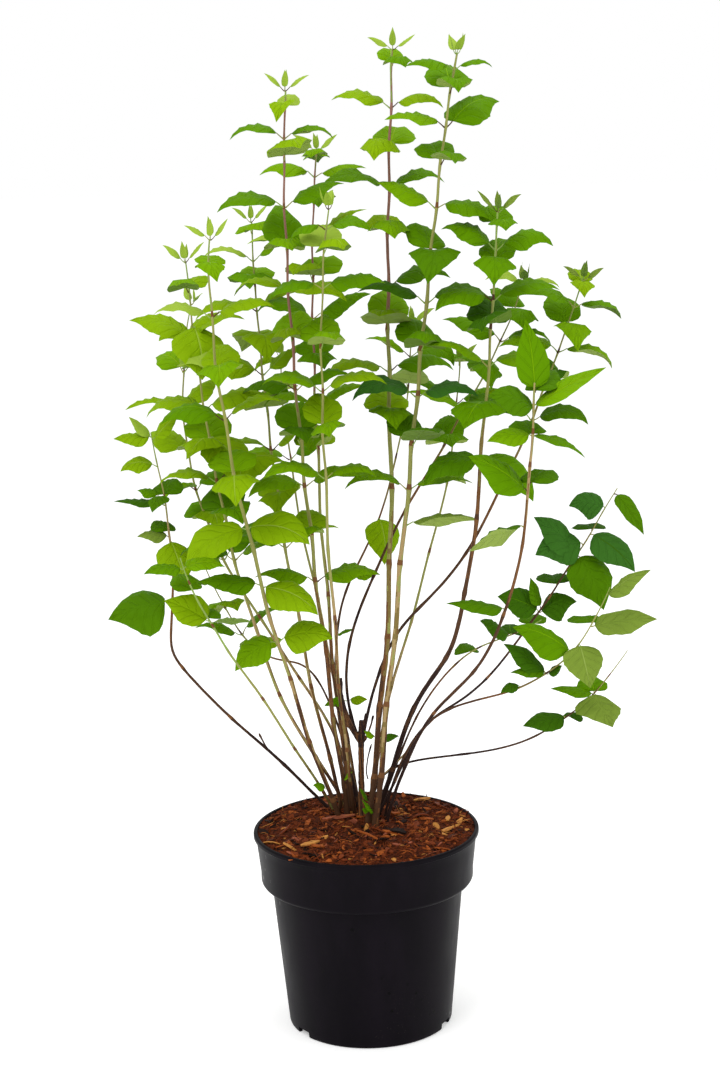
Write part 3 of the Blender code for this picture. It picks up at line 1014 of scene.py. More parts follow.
@dataclass
class Fill:
    """The bed of bark and coir in the pot, with the bits that lie on it."""

    pot: Pot
    level: float = 0.206
    level_radius: float = 0.072
    edge_height: float = 0.2022
    depth: float = 0.012
    gap: float = 0.0004
    sides: int = 132
    ring_step: float = 0.0026
    lump_size: float = 0.014
    lump_height: float = 0.0062
    crumb_size: float = 0.0042
    crumb_height: float = 0.0030
    slope_power: float = 1.4
    edge_gap: float = 0.003  # between the wall and the nearest bit
    facing_up: float = 0.9  # least upward part of the top face's normal
    loose_depth: float = 0.001  # how far below the edge the lumps begin
    bit_depth: float = 0.004  # and how far below it bits may lie
    middle_weight: float = 0.004  # added to a place's distance from the middle, as its chance of a bit
    seed: int = 71
    chip: ChipHabit = ChipHabit()
    strand: StrandHabit = StrandHabit()

    def __post_init__(self) -> None:
        """Work out the bed's radii from the pot's inner wall."""
        inset = self.pot.wall + self.gap
        self.radius = self.pot.collar_radius(self.edge_height) - inset
        self.foot_radius = self.pot.collar_radius(self.edge_height - self.depth) - inset
        self.rng = np.random.default_rng(self.seed)

    def surface(self, radius: Measure) -> Measure:
        """Give the height of the bed at a distance from the middle, before its lumps."""
        run = np.clip((np.asarray(radius) - self.level_radius) / (self.radius - self.level_radius), 0.0, 1.0)
        return self.level - (self.level - self.edge_height) * run ** self.slope_power

    def shape_bed(self) -> bpy.types.Object:
        """Inset the top of a low cone ring by ring, then push it into lumps and crumbs.

        Returns:
            The bed.
        """
        clear_selection()
        bpy.ops.mesh.primitive_cone_add(vertices=self.sides, radius1=self.foot_radius, radius2=self.radius,
                                        depth=self.depth, end_fill_type="NGON",
                                        location=(0.0, 0.0, self.edge_height - self.depth / 2))
        bed = new_part("fill_bed")
        bpy.ops.object.transform_apply(location=True, rotation=True, scale=True)
        for face in bed.data.polygons:
            face.select = face.normal.z > self.facing_up
        for edge in bed.data.edges:
            edge.select = False
        for corner in bed.data.vertices:
            corner.select = False
        for face in bed.data.polygons:
            if face.select:
                for number in face.vertices:
                    bed.data.vertices[number].select = True
        bpy.ops.object.mode_set(mode="EDIT")
        bpy.ops.mesh.select_mode(type="FACE")
        radius, height = self.radius, self.edge_height
        while radius > 3 * self.ring_step:
            bpy.ops.mesh.inset(thickness=self.ring_step)
            radius -= self.ring_step
            rise = float(self.surface(radius)) - height
            height += rise
            bpy.ops.transform.translate(value=(0.0, 0.0, rise))
        bpy.ops.mesh.poke()
        bpy.ops.object.mode_set(mode="OBJECT")
        loose = bed.vertex_groups.new(name="loose")
        loose.add([v.index for v in bed.data.vertices if v.co.z > self.edge_height - self.loose_depth], 1.0, "REPLACE")
        apply_modifier(bed, "SUBSURF", subdivision_type="SIMPLE", levels=1, render_levels=1)
        for size, strength in ((self.lump_size, self.lump_height), (self.crumb_size, self.crumb_height)):
            lumps = cloud("lumps", size)
            apply_modifier(bed, "DISPLACE", texture=lumps, texture_coords="LOCAL", direction="Z",
                           strength=strength, mid_level=0.5, vertex_group="loose")
        make_active(bed)
        bpy.ops.object.shade_smooth()
        wear(bed.data, [FILL_FINISH])
        return bed

    def strew(self, bed: bpy.types.Object, count: int) -> np.ndarray:
        """Pick places on the lumpy bed's surface, more of them towards its edge.

        Args:
            bed: the bed.
            count: how many places.

        Returns:
            The places, (count, 3).
        """
        points = np.empty(len(bed.data.vertices) * 3)
        bed.data.vertices.foreach_get("co", points)
        points = points.reshape(-1, 3)
        away = np.hypot(points[:, 0], points[:, 1])
        points = points[(points[:, 2] > self.edge_height - self.bit_depth) & (away < self.radius - self.edge_gap)]
        weight = np.hypot(points[:, 0], points[:, 1]) + self.middle_weight
        return points[self.rng.choice(len(points), count, p=weight / weight.sum())]

    def lay_chips(self, bed: bpy.types.Object) -> bpy.types.Object:
        """Scatter slivers and chips of bark, each a bent, tapering slip.

        Args:
            bed: the bed that they lie on.

        Returns:
            The chips as one piece.
        """
        rng, habit, count = self.rng, self.chip, self.chip.count
        middle = self.strew(bed, count)
        length = rng.gamma(*habit.length, count).clip(*habit.length_clip)
        width = (length * rng.uniform(*habit.slim, count)).clip(*habit.width_clip)
        thick = rng.uniform(*habit.thick, count)
        bearing = rng.uniform(0.0, math.tau, count)
        pitch = rng.normal(0.0, habit.pitch, count)
        roll = rng.normal(0.0, habit.roll, count)
        tones = rng.choice(len(Litter), count, p=habit.tones)
        for number, chip in enumerate(CHIPS):
            middle[number] = (chip.x, chip.y, float(self.surface(math.hypot(chip.x, chip.y))) + chip.rise)
            length[number], width[number], thick[number] = chip.length, chip.width, habit.laid_thick
            bearing[number], pitch[number], roll[number] = math.radians(chip.bearing), math.radians(chip.pitch), 0.0
            tones[number] = chip.tone.slot
        bow = rng.normal(0.0, habit.bow, count) * length
        along = np.stack((np.cos(bearing) * np.cos(pitch), np.sin(bearing) * np.cos(pitch), np.sin(pitch)), axis=-1)
        flat = unit(np.cross(UP, along))
        across = flat * np.cos(roll)[:, None] + np.cross(along, flat) * np.sin(roll)[:, None]
        normal = np.cross(along, across)
        corners = []
        for run, broad in habit.sections:
            centre = middle + along * (length * run)[:, None]
            centre = centre + normal * (bow * (1 - 4 * run * run) + thick * 0.5)[:, None]
            ragged = broad * rng.uniform(*habit.ragged, (count, 2))
            for side, up in ((-1, -1), (1, -1), (1, 1), (-1, 1)):
                half = width * 0.5 * ragged[:, 0 if side < 0 else 1]
                corners.append(centre + across * (half * side)[:, None] + normal * (thick * 0.5 * up)[:, None])
        last = 4 * (len(habit.sections) - 1)
        walls = [[low + n, low + (n + 1) % 4, low + 4 + (n + 1) % 4, low + 4 + n]
                 for low in range(0, last, 4) for n in range(4)]
        faces = np.array([[3, 2, 1, 0], *walls, [last, last + 1, last + 2, last + 3]])
        heap = Heap()
        heap.add(np.stack(corners, axis=1), faces, face_slots(tones, faces))
        return heap.build("bark_chips", Litter.finishes(), 0.6)

    def lay_strands(self, bed: bpy.types.Object) -> bpy.types.Object:
        """Scatter curled strands of coir, each a thin swept line.

        Args:
            bed: the bed that they lie on.

        Returns:
            The strands as one piece.
        """
        rng, habit, count = self.rng, self.strand, self.strand.count
        middle = self.strew(bed, count)[:, None]
        length = rng.gamma(*habit.length, count).clip(*habit.length_clip)[:, None]
        bearing = rng.uniform(0.0, math.tau, count)
        curl = rng.normal(0.0, habit.curl, count)
        rise = rng.normal(0.0, habit.rise, count)
        arch = np.abs(rng.normal(0.0, habit.arch, count))
        runs = np.linspace(-0.5, 0.5, habit.points)
        angle = bearing[:, None] + curl[:, None] * runs
        x, y, z = np.moveaxis(middle, -1, 0)
        height = z + habit.float_up + length * rise[:, None] * runs + length * arch[:, None] * (1 - 4 * runs ** 2)
        lines = np.stack((x + length * runs * np.cos(angle), y + length * runs * np.sin(angle), height), axis=-1)
        away = np.hypot(lines[..., 0], lines[..., 1])
        lines[..., :2] *= np.minimum(1.0, (self.radius - self.edge_gap / 2) / away)[..., None]
        radii = rng.uniform(*habit.radius, count)[:, None] * np.array(habit.taper)
        faces = tube_faces(habit.points, habit.sides)
        tones = rng.choice(len(Litter), count, p=habit.tones)
        heap = Heap()
        heap.add(sweep(lines, radii, habit.sides, UP), faces, face_slots(tones, faces))
        return heap.build("coir_strands", Litter.finishes())

    def build(self) -> None:
        """Make the bed and strew it."""
        bed = self.shape_bed()
        chips = self.lay_chips(bed)
        strands = self.lay_strands(bed)
        settle(chips, "fill")
        settle(strands, "fill")
        settle(bed, "fill", "fill")


# ---------------- shoots


class Growth(Enum):
    """How a shoot's bark changes from its foot to its tip: tones, and the share where each takes over."""

    TALL = ((0.00, Bark.DARK), (0.13, Bark.BROWN), (0.24, Bark.KHAKI), (0.38, Bark.OLIVE), (0.62, Bark.PLUM),
            (0.95, Bark.GREEN))
    PALE = ((0.00, Bark.DARK), (0.10, Bark.BROWN), (0.17, Bark.KHAKI), (0.25, Bark.TAN), (0.38, Bark.OLIVE),
            (0.93, Bark.GREEN))
    GREEN = ((0.00, Bark.BROWN), (0.08, Bark.KHAKI), (0.20, Bark.OLIVE), (0.55, Bark.GREEN))
    DARK = ((0.00, Bark.NIGHT), (0.20, Bark.DARK), (0.48, Bark.BROWN), (0.60, Bark.KHAKI), (0.70, Bark.OLIVE),
            (0.93, Bark.GREEN))
    RUST = ((0.00, Bark.NIGHT), (0.24, Bark.DARK), (0.56, Bark.BROWN), (0.70, Bark.TAN), (0.84, Bark.OLIVE),
            (0.94, Bark.GREEN))
    SHADE = ((0.00, Bark.NIGHT), (0.48, Bark.DARK), (0.80, Bark.BROWN), (0.88, Bark.OLIVE))


class Leafage(Enum):
    """How a shoot's leaves are dealt their tints, as weights for each tint from young to blue."""

    FRESH = (0.06, 0.44, 0.34, 0.16, 0.00, 0.00, 0.00)
    LIGHT = (0.02, 0.22, 0.40, 0.28, 0.08, 0.00, 0.00)
    GREEN = (0.00, 0.06, 0.26, 0.40, 0.22, 0.06, 0.00)
    DEEP = (0.00, 0.02, 0.10, 0.26, 0.40, 0.20, 0.02)
    COOL = (0.00, 0.00, 0.04, 0.14, 0.30, 0.28, 0.24)


@dataclass(frozen=True)
class Shoot:
    """One stem and how it grows. Points are x, y and z; a foot is x and y on its ground."""

    place: str
    foot: tuple[float, float]
    rise: tuple[float, float, float]
    crest: tuple[float, float, float]
    tip: tuple[float, float, float]
    bare: float
    stem: float
    neck: float
    pairs: int
    reach: float
    turn: float
    growth: Growth
    leafage: Leafage
    ground: float = 0.206
    broad: float = 0.355  # half a leaf's width as a share of its length
    sparse: bool = False  # whether its leaves are all set one by one
    end: float = 1.0  # share of its line where a sparse stem stops
    nodes: tuple[float, ...] = ()  # shares where its pairs stand, from the top down, if they are not spaced evenly


OLD_HEAD_HEIGHT = 0.290

SHOOTS = (
    Shoot("centre_tall", (0.002, 0.004), (0.056, 0.006, 0.584), (0.018, 0.014, 0.555), (0.046, 0.015, 0.997),
          0.39, 0.0066, 0.0046, 11, 0.06, 90, Growth.TALL, Leafage.LIGHT,
          nodes=(0.955, 0.905, 0.856, 0.807, 0.756, 0.688, 0.638, 0.585, 0.532)),
    Shoot("centre_right", (0.009, -0.005), (0.045, -0.027, 0.492), (0.083, -0.047, 0.905), (0.107, -0.05, 0.989),
          0.43, 0.006, 0.0044, 11, 0.058, 12, Growth.PALE, Leafage.GREEN,
          nodes=(0.955, 0.928, 0.888, 0.845, 0.793, 0.737, 0.679, 0.622, 0.564, 0.505, 0.448)),
    Shoot("left_tall", (-0.019, 0.03), (-0.043, -0.008, 0.449), (-0.074, -0.041, 0.76), (-0.056, -0.045, 0.96),
          0.32, 0.005, 0.0038, 12, 0.056, 90, Growth.TALL, Leafage.LIGHT,
          nodes=(0.95, 0.915, 0.888, 0.831, 0.778, 0.725, 0.664, 0.6, 0.537, 0.473, 0.406, 0.342)),
    Shoot("left_behind", (-0.015, 0.045), (-0.04, 0.065, 0.419), (-0.05, 0.083, 0.741), (-0.03, 0.085, 0.902),
          0.37, 0.0046, 0.0034, 10, 0.055, 90, Growth.TALL, Leafage.LIGHT,
          nodes=(0.962, 0.935, 0.897, 0.846, 0.789, 0.733, 0.671, 0.607, 0.542)),
    Shoot("centre_front", (-0.011, 0.035), (-0.024, -0.035, 0.311), (-0.046, -0.098, 0.755), (-0.015, -0.105, 0.852),
          0.46, 0.0038, 0.003, 8, 0.055, 0, Growth.PALE, Leafage.LIGHT,
          nodes=(0.94, 0.908, 0.858, 0.774, 0.71, 0.651, 0.581)),
    Shoot("left_back", (-0.024, 0.052), (-0.078, 0.088, 0.416), (-0.1, 0.121, 0.656), (-0.102, 0.125, 0.833),
          0.35, 0.0042, 0.0032, 10, 0.058, 90, Growth.PALE, Leafage.FRESH,
          nodes=(0.95, 0.905, 0.866, 0.825, 0.78, 0.722, 0.662, 0.599, 0.517, 0.439)),
    Shoot("left_front", (-0.028, 0.024), (-0.095, -0.042, 0.426), (-0.147, -0.112, 0.691), (-0.125, -0.12, 0.828),
          0.59, 0.0046, 0.0034, 5, 0.06, 90, Growth.PALE, Leafage.FRESH,
          nodes=(0.929, 0.857, 0.773, 0.704, 0.61)),
    Shoot("left_mid", (-0.031, 0.036), (0.003, 0.014, 0.257), (-0.13, -0.008, 0.256), (-0.161, -0.01, 0.802),
          0.49, 0.0038, 0.003, 8, 0.06, 80, Growth.PALE, Leafage.FRESH),
    Shoot("left_outer_back", (-0.016, 0.056), (-0.011, 0.098, 0.357), (-0.245, 0.136, 0.44), (-0.162, 0.14, 0.749),
          0.5, 0.0034, 0.0026, 7, 0.058, 35, Growth.PALE, Leafage.LIGHT),
    Shoot("left_arching", (-0.038, 0.054), (-0.291, 0.041, 0.479), (-0.146, 0.031, 0.283), (-0.204, 0.03, 0.611),
          0.62, 0.0034, 0.0026, 5, 0.036, 0, Growth.RUST, Leafage.FRESH, sparse=True),
    Shoot("left_low_front", (-0.034, 0.046), (-0.09, -0.042, 0.359), (-0.194, -0.121, 0.496), (-0.163, -0.13, 0.552),
          0.61, 0.003, 0.0022, 4, 0.056, 30, Growth.GREEN, Leafage.FRESH, sparse=True, end=0.9),
    Shoot("left_low_back", (-0.008, 0.053), (-0.06, 0.094, 0.491), (-0.084, 0.131, 0.221), (-0.172, 0.135, 0.475),
          0.6, 0.0026, 0.002, 4, 0.052, 10, Growth.DARK, Leafage.LIGHT),
    Shoot("centre_back", (-0.006, 0.043), (-0.078, 0.102, 0.506), (0.049, 0.154, 0.377), (0.063, 0.16, 0.721),
          0.37, 0.0034, 0.0026, 5, 0.055, 90, Growth.DARK, Leafage.GREEN,
          nodes=(0.955, 0.9, 0.84)),
    Shoot("right_back", (-0.0056, 0.0262), (-0.067, 0.067, 0.426), (0.151, 0.106, 0.616), (0.18, 0.11, 0.765),
          0.43, 0.0031, 0.0027, 6, 0.056, 0, Growth.DARK, Leafage.GREEN, OLD_HEAD_HEIGHT,
          nodes=(0.955, 0.9, 0.84, 0.77, 0.69, 0.61)),
    Shoot("right_outer", (-0.0012, 0.0236), (0.041, 0.04, 0.501), (0.079, 0.053, 0.306), (0.237, 0.055, 0.769),
          0.52, 0.0032, 0.0028, 6, 0.056, 90, Growth.DARK, Leafage.GREEN, OLD_HEAD_HEIGHT,
          nodes=(0.95, 0.91, 0.868, 0.823, 0.759, 0.688)),
    Shoot("right_mid", (0.012, 0.027), (0.095, -0.017, 0.508), (0.095, -0.056, 0.219), (0.14, -0.06, 0.844),
          0.53, 0.0054, 0.0038, 6, 0.058, 90, Growth.DARK, Leafage.DEEP,
          nodes=(0.95, 0.916, 0.894, 0.845, 0.806, 0.752)),
    Shoot("right_front", (0.021, 0.005), (0.077, -0.057, 0.447), (0.156, -0.141, 0.297), (0.165, -0.15, 0.722),
          0.78, 0.0034, 0.0027, 3, 0.054, 65, Growth.RUST, Leafage.DEEP, sparse=True, end=0.915),
    Shoot("right_low_back", (0.014, 0.047), (0.085, 0.074, 0.392), (0.117, 0.097, 0.353), (0.19, 0.1, 0.392),
          0.62, 0.0026, 0.002, 3, 0.046, 0, Growth.DARK, Leafage.COOL, sparse=True),
    Shoot("right_low_mid", (0.011, 0.016), (0.103, 0.008, 0.416), (0.059, 0.005, 0.213), (0.258, 0.005, 0.547),
          0.62, 0.0028, 0.0022, 5, 0.056, 0, Growth.SHADE, Leafage.COOL, sparse=True),
    Shoot("right_low_front", (0.019, 0.013), (0.057, -0.034, 0.427), (0.175, -0.08, 0.281), (0.245, -0.085, 0.482),
          0.59, 0.0026, 0.002, 4, 0.056, 0, Growth.DARK, Leafage.COOL, sparse=True, end=0.96),
    Shoot("right_lowest", (0.007, 0.038), (0.007, 0.038, 0.321), (0.156, 0.01, 0.203), (0.266, -0.01, 0.385),
          0.61, 0.0026, 0.002, 4, 0.044, 0, Growth.SHADE, Leafage.COOL, sparse=True),
    Shoot("hind_left", (-0.007, 0.062), (-0.035, 0.115, 0.4), (-0.08, 0.165, 0.52), (-0.078, 0.17, 0.69),
          0.44, 0.0036, 0.0028, 4, 0.05, 0, Growth.PALE, Leafage.LIGHT,
          nodes=(0.95, 0.88, 0.74)),
    Shoot("hind_right", (0.004, 0.053), (0.03, 0.105, 0.38), (0.11, 0.165, 0.48), (0.112, 0.17, 0.68),
          0.44, 0.0036, 0.0028, 4, 0.05, 90, Growth.PALE, Leafage.GREEN,
          nodes=(0.95, 0.87, 0.7)),
)


class Spine:
    """The line of a shoot: a cubic curve from its foot to its tip, measured along its length."""

    SAMPLES = 161
    NEAR = 0.01  # share of the length to either side that gives its direction

    def __init__(self, shoot: Shoot) -> None:
        """Sample the curve and measure it.

        Args:
            shoot: the shoot that the curve runs through.
        """
        t = np.linspace(0.0, 1.0, self.SAMPLES)[:, None]
        places = ((*shoot.foot, shoot.ground), shoot.rise, shoot.crest, shoot.tip)
        foot, rise, crest, tip = (np.array(place) for place in places)
        self.path = (1 - t) ** 3 * foot + 3 * t * (1 - t) ** 2 * rise + 3 * t ** 2 * (1 - t) * crest + t ** 3 * tip
        steps = np.linalg.norm(np.diff(self.path, axis=0), axis=1)
        self.run = np.concatenate(([0.0], np.cumsum(steps)))
        self.length = self.run[-1]

    def at(self, share: Measure) -> np.ndarray:
        """Give the point at a share of the length, or one for each of several shares."""
        where = np.asarray(share) * self.length
        return np.stack([np.interp(where, self.run, self.path[:, axis]) for axis in range(3)], axis=-1)

    def heading(self, share: Measure) -> np.ndarray:
        """Give the direction along the shoot at a share, or at each of several shares."""
        share = np.asarray(share)
        return unit(self.at(np.minimum(share + self.NEAR, 1.0)) - self.at(np.maximum(share - self.NEAR, 0.0)))

    def frame(self, share: Measure) -> tuple[np.ndarray, np.ndarray]:
        """Give two directions square to the shoot: sideways, and away from the front.

        Args:
            share: share of the length, or several.

        Returns:
            The two directions, or two rows of them.
        """
        heading = self.heading(share)
        depthwise = unit(DEPTH - (heading @ DEPTH)[..., None] * heading)
        return np.cross(depthwise, heading), depthwise


@dataclass(frozen=True)
class Blade:
    """One blade: where it starts, the level way it grows, its size and how it hangs. Its angles are in radians."""

    base: np.ndarray
    out: np.ndarray
    length: float
    broad: float  # half its width as a share of its length
    pitch: float  # how steeply it rises at its base
    droop: float  # how far it bends down by its tip
    roll: float  # how far it is turned about its midrib
    tint: int  # material slot


@dataclass
class LeafShape:
    """The outline and relief that every blade shares, as shares of its length and half width."""

    teeth: int = 4
    first_notch: float = 0.27
    notch_step: float = 0.165
    tooth_run: float = 0.110
    tooth_proud: float = 1.022
    notch_deep: float = 0.978
    rib_half: float = 0.030
    mid: float = 0.55  # where each half is creased
    base: tuple = ((0.0, 0.08), (0.02, 0.42), (0.075, 0.75), (0.16, 0.94))
    outline: tuple = ((0.16, 0.94), (0.25, 1.00), (0.34, 1.00), (0.44, 0.95), (0.54, 0.84), (0.64, 0.68), (0.74, 0.49),
                      (0.83, 0.31), (0.92, 0.13), (1.0, 0.0))
    base_crease: tuple = (0.0, 0.1, 0.4, 0.6)
    tooth_crease: tuple = (-0.6, 1.0)
    crease_height: float = 0.06
    rib_sunk: float = 0.006
    thick: float = 0.0004  # in metres
    thick_share: float = 0.008
    steps: int = 40  # along a blade when it is bent
    droop_power: float = 1.25
    curl_power: float = 2.2
    waves: float = 1.7
    wave_apart: float = 2.0  # radians between the waves of its two edges
    lean: float = 0.10
    base_roll: float = 0.4  # share of its roll that it has at the base
    under_taper: float = 0.6  # how much thinner its rib is at the tip
    fold: tuple[float, float] = (0.05, 0.34)  # radians
    curl: tuple[float, float] = (0.30, 0.70)
    wave: tuple[float, float] = (0.03, 0.10)

    def __post_init__(self) -> None:
        """Work out the stations along the blade and lay out its faces."""
        stations = [run for run, _ in self.base]
        edge = [1.0] * len(stations)
        for tooth in range(self.teeth):
            notch = self.first_notch + self.notch_step * tooth
            stations += [notch, notch + self.tooth_run]
            edge += [self.notch_deep, self.tooth_proud]
        self.stations = np.array(stations)
        knots = np.array(self.base[:-1] + self.outline)
        self.half_width = np.interp(self.stations, knots[:, 0], knots[:, 1]) * np.array(edge)
        self.crease = np.array(self.base_crease + self.tooth_crease * self.teeth)
        self.across = np.array((-1.0, -self.mid, -self.rib_half, self.rib_half, self.mid, 1.0))
        self.faces, self.kinds = self.lay_out()

    def lay_out(self) -> tuple[np.ndarray, np.ndarray]:
        """List one blade's faces, and whether each is top (0), rib (1) or underside (2).

        Returns:
            Faces as corner numbers, and their kinds. Each station has six corners on top and one under the rib,
            and the apex comes last.
        """
        rows, wide = len(self.stations), len(self.across) + 1
        apex = rows * wide
        faces, kinds = [], []
        for row in range(rows):
            here, there = row * wide, (row + 1) * wide
            last = row == rows - 1
            for column in range(len(self.across) - 1):
                low = [here + column, here + column + 1]
                faces.append(low + ([apex, -1] if last else [there + column + 1, there + column]))
                kinds.append(1 if column == 2 else 0)
            left, right, under = here, here + 5, here + 6
            if last:
                faces += [[under, left, apex, -1], [right, under, apex, -1]]
            else:
                faces += [[under, left, there, there + 6], [right, under, there + 6, there + 5]]
            kinds += [2, 2]
        faces += [[6, 5, 4, 3], [6, 3, 2, -1], [6, 2, 1, 0]]
        kinds += [2, 2, 2]
        outward = [face[2::-1] + [-1] if face[3] < 0 else face[::-1] for face in faces]
        return np.array(outward), np.array(kinds)

    def places(self) -> np.ndarray:
        """Give each corner's place on the blade's map: across, then along.

        Returns:
            The places, (corners, 2).
        """
        across = np.concatenate((self.across, [0.0])) * 0.5 + 0.5
        flat = np.stack(np.broadcast_arrays(across[None, :], self.stations[:, None]), axis=-1).reshape(-1, 2)
        return np.concatenate((flat, [[0.5, 1.0]]))

    def bend(self, blades: list[Blade], rng: np.random.Generator) -> np.ndarray:
        """Bend and fold every blade.

        Args:
            blades: the blades.
            rng: source of each blade's own irregularity.

        Returns:
            Corners of each blade, (blades, corners, 3).
        """
        count = len(blades)
        base, out, length, broad, pitch, droop, roll = (
            np.array([getattr(blade, name) for blade in blades])
            for name in ("base", "out", "length", "broad", "pitch", "droop", "roll"))
        fine = np.linspace(0.0, 1.0, self.steps + 1)
        slope = pitch[:, None] - droop[:, None] * fine ** self.droop_power
        start = np.zeros((count, 1))
        level, raised = (np.concatenate((start, np.cumsum(part(slope[:, :-1]), axis=1)), axis=1) / self.steps
                         for part in (np.cos, np.sin))
        lean = rng.normal(0.0, self.lean, count)
        fold, curl, wave, phase = (rng.uniform(*span, count)[:, None]
                                   for span in (self.fold, self.curl, self.wave, (0.0, math.tau)))
        side = unit(np.cross(UP, out))
        stations, half, crease = (np.concatenate((row, [end])) for row, end in
                                  ((self.stations, 1.0), (self.half_width, 0.0), (self.crease, 0.0)))
        angle, along, height = (np.stack([np.interp(stations, fine, row) for row in rows])
                                for rows in (slope, level, raised))
        middle = (base[:, None] + out[:, None] * (along * length[:, None])[..., None]
                  + UP * (height * length[:, None])[..., None]
                  + side[:, None] * (lean[:, None] * stations ** 2 * length[:, None])[..., None])
        normal = -out[:, None] * np.sin(angle)[..., None] + UP * np.cos(angle)[..., None]
        turn = (roll[:, None] * (self.base_roll + (1.0 - self.base_roll) * stations))[..., None]
        across = side[:, None] * np.cos(turn) + normal * np.sin(turn)
        lift = normal * np.cos(turn) - side[:, None] * np.sin(turn)
        wide = (length * broad)[:, None] * half
        columns = []
        for place in self.across:
            share = abs(place)
            rise = wide * (share * np.tan(fold) - curl * share ** self.curl_power)
            rise += wide * self.crease_height * crease * (share == self.mid)
            rise -= (length * self.rib_sunk)[:, None] * (share == self.rib_half)
            rise += wide * share * wave * np.sin(math.tau * self.waves * stations + phase
                                            + (place > 0) * self.wave_apart)
            columns.append(middle + across * (wide * place)[..., None] + lift * rise[..., None])
        thick = self.thick + length * self.thick_share
        columns.append(middle - lift * (thick[:, None] * (1.0 - self.under_taper * stations))[..., None])
        grid = np.stack(columns, axis=2)
        return np.concatenate((grid[:, :-1].reshape(count, -1, 3), middle[:, -1][:, None]), axis=1)


@dataclass(frozen=True)
class LoneLeaf:
    """A leaf that stands apart from the pairs. Its angles are in degrees."""

    place: str
    share: float
    bearing: float  # 0 is right, 90 away and 270 to the front
    length: float
    pitch: float  # above level at its base
    droop: float  # bent down by its tip
    face: float  # how far its top is turned to the front
    tint: Tint
    broad: float = 0.34
    stalk: float = 0.4  # length of its stalk as a share of the usual one


def lone(place: str, *rows: tuple) -> list[LoneLeaf]:
    """Make a shoot's lone leaves from rows of share, bearing, length, pitch, droop, face, tint, broad and stalk."""
    return [LoneLeaf(place, *row) for row in rows]


